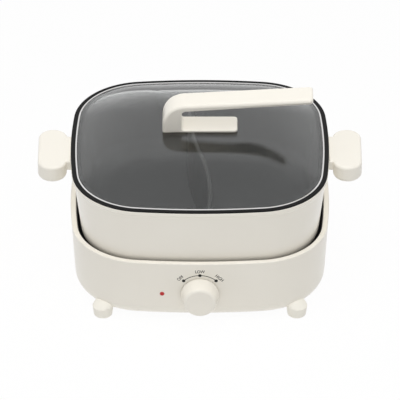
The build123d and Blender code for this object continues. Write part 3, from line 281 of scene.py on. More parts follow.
def skin(name, grids, finish=None, ring_rows=False):
    """One mesh from grids of points in millimetres: quads between neighbouring rows, closed round each row.
    With ring_rows the rows close on themselves. Without it flat faces close the first and the last row."""
    vertices, faces = [], []
    for grid in grids:
        rows, columns = grid.shape[:2]
        start = sum(len(block) for block in vertices)
        index = start + np.arange(rows * columns).reshape(rows, columns)
        low = index if ring_rows else index[:-1]
        high = np.roll(index, -1, axis=0) if ring_rows else index[1:]
        quads = np.dstack((low, np.roll(low, -1, axis=1), np.roll(high, -1, axis=1), high))
        faces += quads.reshape(-1, 4).tolist()
        if not ring_rows:
            faces += [index[0][::-1].tolist(), index[-1].tolist()]
        vertices.append(grid.reshape(-1, 3))
    mesh = bpy.data.meshes.new(name)
    mesh.from_pydata((np.vstack(vertices) * MM).tolist(), [], faces)
    work = bmesh.new()
    work.from_mesh(mesh)
    bmesh.ops.recalc_face_normals(work, faces=work.faces)
    work.to_mesh(mesh)
    work.free()
    if finish:
        mesh.materials.append(finish)
    mesh.shade_smooth()
    mesh.set_sharp_from_angle(angle=radians(SHARP_ANGLE))
    piece = bpy.data.objects.new(name, mesh)
    scene.collection.objects.link(piece)
    even = piece.modifiers.new("even_shading", "WEIGHTED_NORMAL")
    even.keep_sharp = True
    return piece


def linear(codes):
    """Screen colour codes as the linear colour that a shader takes: a power curve with a straight foot."""
    share = np.array(codes) / CODE_LIMIT
    curve = ((share + CODE_OFFSET) / (1 + CODE_OFFSET)) ** CODE_POWER
    return (*np.where(share > CODE_FOOT, curve, share / CODE_FOOT_SLOPE).tolist(), 1)


def blank_finish(name):
    """A new material with one principled shader, its tree and the object's own coordinates."""
    finish = bpy.data.materials.new(name)
    finish.use_nodes = True
    tree = finish.node_tree
    shader = tree.nodes["Principled BSDF"]
    coords = tree.nodes.new("ShaderNodeTexCoord").outputs["Object"]
    return finish, tree, shader, coords


def noise(tree, coords, size, detail=CLOUD_DETAIL):
    """A cloud pattern whose lumps are about a size across, in millimetres."""
    cloud = tree.nodes.new("ShaderNodeTexNoise")
    cloud.inputs["Scale"].default_value = 1 / (size * MM)
    cloud.inputs["Detail"].default_value = detail
    tree.links.new(coords, cloud.inputs["Vector"])
    return cloud.outputs["Fac"]


def stretch(tree, value, low, high):
    """A pattern from zero to one, drawn out to run from low to high."""
    scale = tree.nodes.new("ShaderNodeMapRange")
    scale.inputs["To Min"].default_value = low
    scale.inputs["To Max"].default_value = high
    tree.links.new(value, scale.inputs["Value"])
    return scale.outputs["Result"]


def tint(tree, value, first, second):
    """A colour between two, by a pattern."""
    mix = tree.nodes.new("ShaderNodeMix")
    mix.data_type = "RGBA"
    mix.inputs["A"].default_value = first
    mix.inputs["B"].default_value = second
    tree.links.new(value, mix.inputs["Factor"])
    return mix.outputs["Result"]


def relief(tree, shader, value, depth, strength=1.0):
    """Small bumps of a depth in millimetres, by a pattern."""
    bump = tree.nodes.new("ShaderNodeBump")
    bump.inputs["Strength"].default_value = strength
    bump.inputs["Distance"].default_value = depth * MM
    tree.links.new(value, bump.inputs["Height"])
    tree.links.new(bump.outputs["Normal"], shader.inputs["Normal"])


def moulded(name, codes, deep_codes, roughness, spread, grain, depth, coat=0.0):
    """Moulded plastic or rubber: two close colours in wide clouds, a gloss that wanders by a spread to both
    sides, and a fine skin of a grain's size and depth."""
    finish, tree, shader, coords = blank_finish(name)
    clouds = noise(tree, coords, CLOUD_SIZE)
    fine = noise(tree, coords, grain, GRAIN_DETAIL)
    tree.links.new(tint(tree, clouds, linear(codes), linear(deep_codes)), shader.inputs["Base Color"])
    tree.links.new(stretch(tree, fine, roughness - spread, roughness + spread), shader.inputs["Roughness"])
    shader.inputs["Coat Weight"].default_value = coat
    shader.inputs["Coat Roughness"].default_value = COAT_ROUGHNESS
    relief(tree, shader, fine, depth)
    return finish


def drafted(z, low, high):
    """Inset of a drafted wall at a height: the straight line through two points of inset and height."""
    return low[0] + (high[0] - low[0]) * (z - low[1]) / (high[1] - low[1])


def base_inset(z):
    """Inset of the base's outer wall at a height: a straight draft from the bottom to the rim."""
    return drafted(z, (BASE_BOTTOM_INSET, BASE_BOTTOM_Z), (BASE_TOP_INSET, BASE_TOP_Z))


shell_profile = rounded(
    [
        (COVER_LEDGE_INSET, COVER_TOP_Z, 0),
        (COVER_RECESS_INSET, COVER_TOP_Z, 0),
        (COVER_RECESS_INSET, BASE_BOTTOM_Z, EDGE_BREAK),
        (BASE_BOTTOM_INSET, BASE_BOTTOM_Z, BASE_EDGE_R),
        (BASE_TOP_INSET, BASE_TOP_Z, RIM_ROUND),
        (WELL_INSET, BASE_TOP_Z, RIM_ROUND),
        (WELL_INSET, RIM_UNDER_Z, 0),
        (base_inset(RIM_UNDER_Z) + BASE_WALL, RIM_UNDER_Z, 0),
        (base_inset(BASE_FLOOR_Z) + BASE_WALL, BASE_FLOOR_Z, BASE_EDGE_R - BASE_WALL),
        (COVER_LEDGE_INSET, BASE_FLOOR_Z, 0),
    ],
    WIDE_ROUND_STEPS,
)
shell_grid = swept(shell_profile) * [1 + BASE_SIDE_SWELL / LIP_HALF_WIDTH, 1, 1]
base = skin("base_moulding", [shell_grid], ring_rows=True)
opening = slab(box_outline(*INLET_OPENING, middle=(0, INLET_Z)), *INLET_CUT_Y, order=(0, 2, 1))
cutter = skin("inlet_cutter", [opening])
cut = base.modifiers.new("inlet_opening", "BOOLEAN")
cut.object = cutter
cut.solver = "EXACT"
# The cut comes before the even shading, and both are then made part of the mesh.
base.modifiers.move(1, 0)
base.data = bpy.data.meshes.new_from_object(base.evaluated_get(bpy.context.evaluated_depsgraph_get()))
base.modifiers.clear()
bpy.data.objects.remove(cutter)
cream_gloss = moulded("cream_gloss", **CREAM_GLOSS_LOOK)
base.data.materials.append(cream_gloss)
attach(base, "base")
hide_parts("base_shell")

# Bottom cover: a flat plate of grey plastic in the recess under the shell, with a spark-eroded skin.
# Pan-head steel screws with a crossed recess hold it to the shell, and more hold the plate's pillars to it.
TURNED_SIDES = 64
SCREW_R = 1.5
SCREW_LENGTH = 7.0
SCREW_HEAD_R = 2.9
SCREW_HEAD_HEIGHT = 1.8
SCREW_CROWN = 0.7
SCREW_CORE_SHARE = 0.05
SCREW_HEAD_ROWS = 34
SCREW_SIDES = 96
CROSS_REACH = 1.9
CROSS_HALF_WIDTH = 0.4
CROSS_DEPTH = 0.9
CROSS_SIDE_RUN = 0.18
CROSS_END_RUN = 0.5
COVER_SCREW_PLACES = [(116.0, 0), (-116.0, 0), (0, 107.0), (0, -107.0)]
PILLAR_RING_R = 85.0
PILLAR_ANGLES = (-90, 30, 150)
SCREW_ZINC_LOOK = dict(
    codes=(196, 196, 198), deep_codes=(172, 172, 175), roughness=0.34, spread=0.08, grain=0.6, depth=0.01
)
COVER_GREY_LOOK = dict(
    codes=(150, 148, 143), deep_codes=(142, 140, 135), roughness=0.62, spread=0.06, grain=0.5, depth=0.05
)


def metal(name, **look):
    """Bare metal: the clouds, wandering gloss and fine skin of a moulding, on a metallic ground."""
    finish = moulded(name, **look)
    finish.node_tree.nodes["Principled BSDF"].inputs["Metallic"].default_value = 1.0
    return finish


def turned(profile, place=(0, 0), sides=TURNED_SIDES):
    """A profile of radii and heights turned about an upright axis at a place."""
    radius, height = np.asarray(profile, float).T
    angle = np.linspace(0, 2 * pi, sides, endpoint=False)
    x = place[0] + radius[:, None] * np.cos(angle)
    y = place[1] + radius[:, None] * np.sin(angle)
    return np.dstack((x, y, np.broadcast_to(height[:, None], x.shape)))


def ring_places(radius, angles):
    """Places on a circle about the middle, at angles in degrees."""
    return [(radius * cos(angle), radius * sin(angle)) for angle in np.radians(angles)]


def ramp(distance, run):
    """From zero to one along a run whose middle is where the distance is zero."""
    return np.clip(distance / run + 1 / 2, 0, 1)


def pan_screws(name, seat_z, places, way=1):
    """Screws along Z: a crowned head on a turned shank, with a cross sunk in the head where the smaller
    distance to its two arms is under their half width and the larger one is under their reach.
    The head lies under seat_z where way is 1, and over it where way is -1."""
    angle = np.linspace(0, 2 * pi, SCREW_SIDES, endpoint=False)
    radius = np.linspace(SCREW_CORE_SHARE, 1, SCREW_HEAD_ROWS)[:, None] * SCREW_HEAD_R
    x = radius * np.cos(angle)
    y = radius * np.sin(angle)
    crown = SCREW_HEAD_HEIGHT - SCREW_CROWN * (radius / SCREW_HEAD_R) ** 4
    arm = ramp(CROSS_HALF_WIDTH - np.minimum(abs(x), abs(y)), CROSS_SIDE_RUN)
    reach = ramp(CROSS_REACH - np.maximum(abs(x), abs(y)), CROSS_END_RUN)
    top = np.dstack((x, y, crown - CROSS_DEPTH * arm * reach))
    tip = (SCREW_R / 2, -SCREW_LENGTH - SCREW_R / 2)
    under = turned([(SCREW_HEAD_R, 0), (SCREW_R, 0), (SCREW_R, -SCREW_LENGTH), tip], sides=SCREW_SIDES)
    whole = np.vstack((top, under)) * [1, 1, -way] + [0, 0, seat_z]
    return skin(name, [whole + [*place, 0] for place in places], screw_zinc)


screw_zinc = metal("screw_zinc", **SCREW_ZINC_LOOK)
nodes["bottom_cover"].material_slots[0].material = moulded("cover_grey", **COVER_GREY_LOOK)
pillar_places = ring_places(PILLAR_RING_R, PILLAR_ANGLES)
for name, places in (("cover_screws", COVER_SCREW_PLACES), ("plate_screws", pillar_places)):
    screws = pan_screws(name + "_crossed", BASE_BOTTOM_Z, places)
    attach(screws, "base")
    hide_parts(name)

# Feet: tapered plugs of pale matt plastic at the shell's corners, whose rounded heads lean into its wall.
# A round pad of grey rubber with two raised rings is let into each sole.
FOOT_PLACES = {
    "foot_front_left": (-108.3, -111.1),
    "foot_rear_left": (-108.3, 111.1),
    "foot_front_right": (108.3, -111.1),
    "foot_rear_right": (108.3, 111.1),
}
FOOT_PROFILE = [
    (7.6, 2.4, 0),
    (7.6, 1.0, 0.2),
    (10.2, 1.0, 1.6),
    (11.7, 13.0, 0),
]
FOOT_HEAD_RISE = 14.0
FOOT_HEAD_LEAN = 14.0
FOOT_HEAD_ROWS = 14
PAD_R = 7.5
PAD_TOP_Z = 2.4
PAD_EDGE_Z = 0.3
PAD_CORE_R = 0.5
PAD_RING_DROP = 0.35
PAD_WAVES = 2.5
PAD_ROWS = 30
PAD_CORE_SHARE = 0.06
PAD_RINGED_SHARE = 0.94
FOOT_CREAM_LOOK = dict(
    codes=(244, 241, 231), deep_codes=(239, 235, 224), roughness=0.5, spread=0.06, grain=0.9, depth=0.02
)
PAD_RUBBER_LOOK = dict(
    codes=(118, 118, 115), deep_codes=(104, 104, 102), roughness=0.78, spread=0.06, grain=0.4, depth=0.04
)


def leaning_head(place):
    """A round dome over a foot: a quarter ellipse turned about the foot's axis, drawn in towards the shell's
    middle the more the higher it is, so that it runs out into the wall."""
    foot_r, seam_z, _ = FOOT_PROFILE[-1]
    swing = np.linspace(0, pi / 2, FOOT_HEAD_ROWS)[1:-1]
    dome = turned(np.column_stack((foot_r * np.cos(swing), seam_z + FOOT_HEAD_RISE * np.sin(swing))), place)
    inward = -np.array([*place, 0]) / np.hypot(*place)
    return dome + np.sin(swing)[:, None, None] * FOOT_HEAD_LEAN * inward


foot_cream = moulded("foot_cream", **FOOT_CREAM_LOOK)
for name, place in FOOT_PLACES.items():
    plug = turned(rounded(FOOT_PROFILE), place)
    foot = skin(name + "_plug", [np.concatenate((plug, leaning_head(place)))], foot_cream)
    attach(foot, "base")
    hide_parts(name)
pad_radius = np.linspace(PAD_CORE_SHARE, 1, PAD_ROWS) * PAD_R
pad_wave = (1 - np.cos(pad_radius / PAD_R * PAD_WAVES * 2 * pi)) / 2
pad_sole = PAD_RING_DROP * pad_wave * (pad_radius < PAD_RINGED_SHARE * PAD_R)
pad_back = [(PAD_R, PAD_EDGE_Z), (PAD_R, PAD_TOP_Z), (PAD_CORE_R, PAD_TOP_Z)]
pad_profile = np.vstack((np.column_stack((pad_radius, pad_sole)), pad_back))
pad_rubber = moulded("pad_rubber", **PAD_RUBBER_LOOK)
pads = skin("foot_pads_ringed", [turned(pad_profile, place) for place in FOOT_PLACES.values()], pad_rubber)
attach(pads, "base")
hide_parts("foot_pads")

# Well liner: a deep-drawn steel tray, painted satin black, that hangs by its flange under the base's rim.
# Its floor is pierced by a round hole for the heating plate, and four screws hold the heat shield to it.
LINER_FLANGE_INSET = 4.115
LINER_TOP_INSET = 5.415
LINER_FOOT_INSET = 6.915
LINER_WALL = 1.5
LINER_FLOOR_Z = 56.0
LINER_EDGE_R = 15.5
LINER_BEND_R = 0.5
LINER_FLANGE_ROUND = 0.2
LINER_MOUTH_ROUND = 0.4
LINER_STEPS = 10
LINER_HOLE_R = 98.0
LINER_SCREW_RING_R = 108.5
LINER_SCREW_ANGLES = (45, 135, 225, 315)
TRAY_BLACK_LOOK = dict(
    codes=(34, 34, 35), deep_codes=(27, 27, 28), roughness=0.42, spread=0.08, grain=1.2, depth=0.02
)


def round_row(radius, z):
    """A circle of the plan's points about the middle, at a height."""
    out = plan_points / np.hypot(*plan_points.T)[:, None] * radius
    return np.column_stack((out, np.full(len(out), z)))[None]


liner_under_z = LINER_FLOOR_Z - LINER_WALL
liner_profile = rounded(
    [
        (LINER_FOOT_INSET + 2 * LINER_EDGE_R, liner_under_z, 0),
        (LINER_FOOT_INSET, liner_under_z, LINER_EDGE_R),
        (LINER_TOP_INSET, RIM_UNDER_Z - LINER_WALL, LINER_BEND_R),
        (LINER_FLANGE_INSET, RIM_UNDER_Z - LINER_WALL, LINER_FLANGE_ROUND),
        (LINER_FLANGE_INSET, RIM_UNDER_Z, LINER_FLANGE_ROUND),
        (LINER_TOP_INSET + LINER_WALL, RIM_UNDER_Z, LINER_MOUTH_ROUND),
        (LINER_FOOT_INSET + LINER_WALL, LINER_FLOOR_Z, LINER_EDGE_R - LINER_WALL),
        (LINER_FOOT_INSET + 2 * LINER_EDGE_R, LINER_FLOOR_Z, 0),
    ],
    LINER_STEPS,
)
hole_rows = [round_row(LINER_HOLE_R, z) for z in (LINER_FLOOR_Z, liner_under_z)]
liner_grid = np.concatenate((swept(liner_profile[1:-1]), *hole_rows))
liner = skin("well_tray", [liner_grid], moulded("tray_black", **TRAY_BLACK_LOOK), ring_rows=True)
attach(liner, "base")
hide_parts("well_liner")
liner_screw_places = ring_places(LINER_SCREW_RING_R, LINER_SCREW_ANGLES)
liner_screws = pan_screws("liner_screws_crossed", LINER_FLOOR_Z, liner_screw_places, way=-1)
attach(liner_screws, "base")
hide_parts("liner_screws")

# Heating plate: a thick cast aluminium disc, faced on a lathe so that fine rings show.
# The sensor in its middle hole is a pressed aluminium cap on a coil spring in a steel cup.
PLATE_TOP_Z = 60.0
PLATE_PROFILE = [(14.0, 52.0, 0.3), (95.0, 52.0, 0.5), (95.0, PLATE_TOP_Z, 1.5), (14.0, PLATE_TOP_Z, 0.6)]
PLATE_SIDES = 128
PLATE_GROOVE_R = (34.0, 58.0, 80.0)
PLATE_GROOVE_HALF = 1.0
PLATE_GROOVE_DEPTH = 0.5
PLATE_GROOVE_ROUND = 0.25
RING_PITCH = 1.1
RING_WANDER = 0.6
RING_STRENGTH = 0.5
WAVE_RATE = 20.0
LATHE_CLOUD_SIZE = 14.0
LATHE_SPREAD = 0.07
PLATE_LOOK = dict(codes=(188, 188, 190), deep_codes=(170, 170, 173), roughness=0.36, depth=0.02)
SENSOR_PROFILE = [
    (0.4, 59.8, 0),
    (8.3, 59.8, 0.8),
    (8.3, 48.5, 0),
    (10.6, 48.5, 0.2),
    (10.6, 50.0, 0.2),
    (9.5, 50.0, 0.3),
    (9.5, 61.0, 1.2),
    (0.4, 61.0, 0),
]
COIL_R = 6.4
COIL_WIRE_R = 0.5
COIL_LOW_Z = 41.55
COIL_TOP_Z = 59.2
COIL_TURNS = 6
COIL_STEPS = 288
COIL_SIDES = 12


def lathe_faced(name, codes, deep_codes, roughness, depth):
    """Turned metal: rings about the upright axis in relief, at a pitch that is one full turn of the wave
    pattern's phase. Clouds break up the colour and the gloss."""
    finish, tree, shader, coords = blank_finish(name)
    rings = tree.nodes.new("ShaderNodeTexWave")
    rings.wave_type = "RINGS"
    rings.rings_direction = "Z"
    rings.inputs["Scale"].default_value = 2 * pi / (WAVE_RATE * RING_PITCH * MM)
    rings.inputs["Distortion"].default_value = RING_WANDER
    tree.links.new(coords, rings.inputs["Vector"])
    clouds = noise(tree, coords, LATHE_CLOUD_SIZE)
    gloss = stretch(tree, clouds, roughness - LATHE_SPREAD, roughness + LATHE_SPREAD)
    tree.links.new(tint(tree, clouds, linear(codes), linear(deep_codes)), shader.inputs["Base Color"])
    tree.links.new(gloss, shader.inputs["Roughness"])
    shader.inputs["Metallic"].default_value = 1.0
    relief(tree, shader, rings.outputs["Fac"], depth, RING_STRENGTH)
    return finish


def coil_tube():
    """A round wire wound to a helix: at each step along it, a ring of points about the wire's middle, spread
    along the radius and the direction square to both the radius and the wire."""
    share = np.linspace(0, 1, COIL_STEPS)[:, None]
    turn = share * COIL_TURNS * 2 * pi
    around = np.linspace(0, 2 * pi, COIL_SIDES, endpoint=False)
    climb = (COIL_TOP_Z - COIL_LOW_Z) / (COIL_TURNS * 2 * pi)
    lean = np.hypot(climb, COIL_R)
    reach = COIL_R + COIL_WIRE_R * np.cos(around)
    rise = COIL_WIRE_R * np.sin(around)
    x = reach * np.cos(turn) + rise * np.sin(turn) * climb / lean
    y = reach * np.sin(turn) - rise * np.cos(turn) * climb / lean
    z = COIL_LOW_Z + share * (COIL_TOP_Z - COIL_LOW_Z) + rise * COIL_R / lean
    return np.dstack((x, y, z))


groove_corners = [
    (radius + step * PLATE_GROOVE_HALF, PLATE_TOP_Z - PLATE_GROOVE_DEPTH * (step == 0), PLATE_GROOVE_ROUND)
    for radius in reversed(PLATE_GROOVE_R)
    for step in (1, 0, -1)
]
plate_corners = PLATE_PROFILE[:3] + groove_corners + PLATE_PROFILE[3:]
plate_grid = turned(rounded(plate_corners), sides=PLATE_SIDES)
plate_aluminium = lathe_faced("plate_aluminium", **PLATE_LOOK)
plate = skin("heating_plate_faced", [plate_grid], plate_aluminium, ring_rows=True)
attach(plate, "base")
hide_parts("heating_plate")

cap = skin("sensor_cap_pressed", [turned(rounded(SENSOR_PROFILE))], plate_aluminium)
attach(cap, "sensor")
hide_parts("sensor_cap")

spring = skin("sensor_spring_coil", [coil_tube()], screw_zinc)
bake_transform(spring)
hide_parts("sensor_spring")

# Inside the base: a tubular element, a spun shield, pillars, the switch behind the dial, fuse and leads.
# They are plain steel, dark moulded plastic and coloured silicone sleeves.
SHEET_STEEL_LOOK = dict(
    codes=(186, 187, 189), deep_codes=(160, 161, 164), roughness=0.42, spread=0.1, grain=3.0, depth=0.02
)
SWITCH_DARK_LOOK = dict(
    codes=(44, 44, 46), deep_codes=(36, 36, 38), roughness=0.55, spread=0.06, grain=0.5, depth=0.03
)
FUSE_WHITE_LOOK = dict(
    codes=(228, 227, 222), deep_codes=(218, 216, 210), roughness=0.6, spread=0.05, grain=0.5, depth=0.03
)
NEON_GLASS_LOOK = dict(
    codes=(236, 200, 170), deep_codes=(228, 188, 156), roughness=0.1, spread=0.03, grain=2.0, depth=0.01,
    coat=0.5,
)
SLEEVE_SKIN = dict(roughness=0.55, spread=0.05, grain=0.5, depth=0.02)
LEAD_BROWN_LOOK = dict(codes=(96, 62, 40), deep_codes=(84, 53, 34), **SLEEVE_SKIN)
LEAD_BLUE_LOOK = dict(codes=(52, 84, 160), deep_codes=(44, 72, 142), **SLEEVE_SKIN)
LEAD_GREEN_LOOK = dict(codes=(112, 160, 62), deep_codes=(208, 200, 70), **SLEEVE_SKIN)
inner_finishes = {
    metal("sheet_steel", **SHEET_STEEL_LOOK): (
        "heating_element", "heat_shield", "sensor_housing", "thermostat_bracket",
    ),
    screw_zinc: ("plate_pillars", "thermostat_screws", "knob_shaft", "inlet_screws", "grip_screws"),
    moulded("switch_dark", **SWITCH_DARK_LOOK): ("thermostat_body", "lamp_holder"),
    moulded("fuse_white", **FUSE_WHITE_LOOK): ("thermal_fuse",),
    moulded("lead_brown", **LEAD_BROWN_LOOK): ("lead_live_in", "lead_live_out", "lead_switched"),
    moulded("lead_blue", **LEAD_BLUE_LOOK): ("lead_neutral",),
    moulded("lead_green", **LEAD_GREEN_LOOK): ("lead_earth",),
    moulded("neon_glass", **NEON_GLASS_LOOK): ("indicator_lamp",),
}
for finish, names in inner_finishes.items():
    for name in names:
        nodes[name].material_slots[0].material = finish

# Mains inlet: a recessed socket of black heat-proof plastic, set through the back wall.
# Three flat brass pins stand in it.
SOCKET_BLACK_LOOK = dict(
    codes=(30, 30, 31), deep_codes=(24, 24, 25), roughness=0.48, spread=0.07, grain=0.4, depth=0.04
)
PIN_BRASS_LOOK = dict(
    codes=(208, 180, 112), deep_codes=(190, 160, 94), roughness=0.3, spread=0.08, grain=1.0, depth=0.01
)
nodes["inlet_housing"].material_slots[0].material = moulded("socket_black", **SOCKET_BLACK_LOOK)
nodes["inlet_pins"].material_slots[0].material = metal("pin_brass", **PIN_BRASS_LOOK)

# Knob: a plain tapered button in the shell's cream plastic, pushed on the switch's shaft.
# Its face has a soft edge and is very slightly hollow, so that the light rolls over it.
KNOB_Z = 43.6
KNOB_BACK_Y = -134.931
KNOB_FACE_R = 17.5
KNOB_FACE_HEIGHT = 17.98
KNOB_PROFILE = [(3.2, 0, 0), (21.3, 0, 0.8), (21.3, 2.5, 1.6), (KNOB_FACE_R, KNOB_FACE_HEIGHT, 3.8)]
KNOB_STEPS = 10
KNOB_SIDES = 96
KNOB_HOLLOW = 0.35
KNOB_HOLLOW_SHARE = 0.72
KNOB_CORE_SHARE = 0.02
KNOB_HOLLOW_ROWS = 10


def faced_front(grid, back_y, z):
    """An upright turned form laid on its back: its axis points to the front from a depth, at a height."""
    return np.dstack((grid[..., 0], back_y - grid[..., 2], grid[..., 1] + z))


knob_side = rounded(KNOB_PROFILE + [(0, KNOB_FACE_HEIGHT, 0)], KNOB_STEPS)[:-1]
hollow_radius = np.linspace(KNOB_HOLLOW_SHARE, KNOB_CORE_SHARE, KNOB_HOLLOW_ROWS) * KNOB_FACE_R
hollow_height = KNOB_FACE_HEIGHT - KNOB_HOLLOW * np.cos(hollow_radius / hollow_radius[0] * pi / 2)
knob_profile = np.vstack((knob_side, np.column_stack((hollow_radius, hollow_height))))
knob_grid = faced_front(turned(knob_profile, sides=KNOB_SIDES), KNOB_BACK_Y, KNOB_Z)
knob = skin("dial_knob", [knob_grid], cream_gloss)
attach(knob, "knob")
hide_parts("knob")

# Indicator lens: a small domed plug of clear red plastic through the front wall.
# A flange behind the wall holds it, and it lies where the CAD lens does.
LENS_PROFILE = [(0.3, 0, 0), (4.5, 0, 0.1), (4.5, 1.5, 0.1), (2.5, 1.5, 0), (2.5, 11.4, 0.9), (0.3, 11.4, 0)]
LENS_SIDES = 40
LENS_RED_LOOK = dict(
    codes=(190, 10, 14), deep_codes=(176, 6, 10), roughness=0.3, spread=0.03, grain=1.0, depth=0.006
)
lens_low, lens_high = (np.array(corner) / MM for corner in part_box("indicator_lens"))
lens_x, _, lens_z = (lens_low + lens_high) / 2
lens_grid = faced_front(turned(rounded(LENS_PROFILE), (lens_x, 0), LENS_SIDES), lens_high[1], lens_z)
lens = skin("indicator_dome", [lens_grid], moulded("lens_red", **LENS_RED_LOOK))
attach(lens, "base")
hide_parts("indicator_lens")

# Dial marks: a thin arc, three dots and three words round the knob.
# They are pad-printed in dark grey ink on the front wall.
MARK_R = 25.5
MARK_ANGLE = 45.0
MARK_LINE = 0.8
ARC_STEPS = 60
ARC_CORE_SHARE = 0.05
DOT_R = 1.95
DOT_CORE_SHARE = 0.04
DOT_ROWS = 5
DOT_SIDES = 32
WORD_ANGLES = {"OFF": -MARK_ANGLE, "LOW": 0, "HIGH": MARK_ANGLE}
WORD_R = 30.8
WORD_HEIGHT = 3.8
WORD_WEIGHT = 0.013
CAP_SHARE = 0.7
WORD_WIDTH_SHARE = 0.86
INK_PROUD = 0.06
INK_DEPTH = 0.12
INK_DARK_LOOK = dict(
    codes=(20, 19, 18), deep_codes=(30, 29, 27), roughness=0.6, spread=0.06, grain=0.5, depth=0.01
)
ink_dark = moulded("ink_dark", **INK_DARK_LOOK)


def on_front_wall(x, z):
    """Points a little proud of the front wall: the front arc drawn in by the wall's inset at that height."""
    radius = FRONT_ARC_R - base_inset(z)
    depth = LIP_HALF_DEPTH - FRONT_ARC_R + np.sqrt(radius**2 - x**2)
    return np.dstack((x, -depth - INK_PROUD, z))


def inked(name, grids):
    """Ink marks, each a thin closed sheet: the patch on the wall, with a copy of it sunk behind."""
    sheets = [np.concatenate((grid, grid[::-1] + [0, INK_DEPTH, 0])) for grid in grids]
    piece = skin(name, sheets, ink_dark, ring_rows=True)
    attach(piece, "base")


dot_spread = np.linspace(1, DOT_CORE_SHARE, DOT_ROWS)[:, None] * DOT_R
dot_turn = np.linspace(0, 2 * pi, DOT_SIDES, endpoint=False)
dots = []
for angle in np.radians(list(WORD_ANGLES.values())):
    dot_x = MARK_R * sin(angle) + dot_spread * np.cos(dot_turn)
    dot_z = KNOB_Z + MARK_R * cos(angle) + dot_spread * np.sin(dot_turn)
    dots.append(on_front_wall(dot_x, dot_z))
inked("dial_dots", dots)

arc_angle = np.linspace(-1, 1, ARC_STEPS) * radians(MARK_ANGLE)
arc_edge = np.concatenate((arc_angle, arc_angle[::-1]))
arc_side = np.repeat([1, -1], ARC_STEPS) * MARK_LINE / 2
arc_rows = np.array([[1], [ARC_CORE_SHARE]]) * arc_side
arc_x = (MARK_R + arc_rows) * np.sin(arc_edge)
arc_z = KNOB_Z + (MARK_R + arc_rows) * np.cos(arc_edge)
inked("dial_arc", [on_front_wall(arc_x, arc_z)])

for word, angle in WORD_ANGLES.items():
    letters = bpy.data.curves.new("dial_" + word.lower(), "FONT")
    letters.body = word
    letters.align_x = "CENTER"
    letters.offset = WORD_WEIGHT
    source = bpy.data.objects.new("dial_letters", letters)
    scene.collection.objects.link(source)
    mesh = bpy.data.meshes.new_from_object(source.evaluated_get(bpy.context.evaluated_depsgraph_get()))
    bpy.data.objects.remove(source)
    flat = np.zeros(len(mesh.vertices) * 3)
    mesh.vertices.foreach_get("co", flat)
    flat = flat.reshape(-1, 3) * WORD_HEIGHT / CAP_SHARE
    turn = radians(angle)
    across = flat[:, 0] * WORD_WIDTH_SHARE
    up = WORD_R - WORD_HEIGHT / 2 + flat[:, 1]
    word_x = across * cos(turn) + up * sin(turn)
    word_z = KNOB_Z - across * sin(turn) + up * cos(turn)
    placed = on_front_wall(word_x[None], word_z[None])[0]
    mesh.vertices.foreach_set("co", (placed * MM).ravel())
    mesh.update()
    printed = bpy.data.objects.new("dial_" + word.lower(), mesh)
    scene.collection.objects.link(printed)
    thick = printed.modifiers.new("ink_body", "SOLIDIFY")
    thick.thickness = INK_DEPTH * MM
    mesh.materials.clear()
    mesh.materials.append(ink_dark)
    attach(printed, "base")

# Pot: die-cast aluminium, enamelled cream outside, with a flared lip and a ledge for the lid.
# Inside and over the ledge it has a black non-stick coat, and its sole is bare turned metal with a dimple.
POT_FLOOR_Z = 60.0
POT_INNER_Z = 64.5
POT_BOTTOM_INSET = 12.5
POT_TOP_INSET = 2.6
POT_EDGE_R = 28.0
FLARE_LOW_Z = 145.0
FLARE_TOP_Z = 148.6
FLARE_ROUND = 4.0
LIP_Z = 152.0
LIP_INSET = 0.08
LIP_ROUND = 0.8
LIP_UNDER_ROUND = 2.0
LEDGE_INSET = 1.8
LEDGE_Z = 148.0
LEDGE_ROUND = 0.3
CAVITY_TOP_INSET = 9.0
CAVITY_BOTTOM_INSET = 19.0
CAVITY_EDGE_R = 24.0
CAVITY_MOUTH_ROUND = 0.8
DIMPLE_R = 22.0
DIMPLE_Z = 61.3
CREAM_ENAMEL_LOOK = dict(**CREAM_COLOURS, roughness=0.24, spread=0.05, grain=2.4, depth=0.012, coat=0.3)
NONSTICK_LOOK = dict(
    codes=(46, 47, 48), deep_codes=(41, 42, 43), roughness=0.5, spread=0.03, grain=2.4, depth=0.001
)
SOLE_LOOK = dict(codes=(176, 176, 178), deep_codes=(160, 160, 163), roughness=0.4, depth=0.03)
outer_profile = rounded(
    [
        (POT_BOTTOM_INSET + 2 * POT_EDGE_R, POT_FLOOR_Z, 0),
        (POT_BOTTOM_INSET, POT_FLOOR_Z, POT_EDGE_R),
        (POT_TOP_INSET, FLARE_LOW_Z, FLARE_ROUND),
        (LIP_INSET, FLARE_TOP_Z, LIP_UNDER_ROUND),
        (LIP_INSET, LIP_Z, LIP_ROUND),
        (LEDGE_INSET, LIP_Z, LIP_ROUND / 2),
        (LEDGE_INSET, LEDGE_Z, 0),
    ],
    WIDE_ROUND_STEPS,
)[1:-1]
inner_profile = rounded(
    [
        (LEDGE_INSET, LIP_Z, 0),
        (LEDGE_INSET, LEDGE_Z, LEDGE_ROUND),
        (CAVITY_TOP_INSET, LEDGE_Z, CAVITY_MOUTH_ROUND),
        (CAVITY_BOTTOM_INSET, POT_INNER_Z, CAVITY_EDGE_R),
        (CAVITY_BOTTOM_INSET + 2 * CAVITY_EDGE_R, POT_INNER_Z, 0),
    ],
    WIDE_ROUND_STEPS,
)[1:-1]
dimple = [(DIMPLE_R / 3, DIMPLE_Z), (DIMPLE_R, DIMPLE_Z), (DIMPLE_R, POT_FLOOR_Z)]
sole_rows = np.concatenate([round_row(radius, z) for radius, z in dimple])
outer_rows = swept(outer_profile)
inner_rows = np.concatenate((swept(inner_profile), round_row(DIMPLE_R, POT_INNER_Z)))
pot = skin("pot_cast", [np.concatenate((sole_rows, outer_rows, inner_rows))])
cream_enamel = moulded("cream_enamel", **CREAM_ENAMEL_LOOK)
nonstick = moulded("nonstick", **NONSTICK_LOOK)
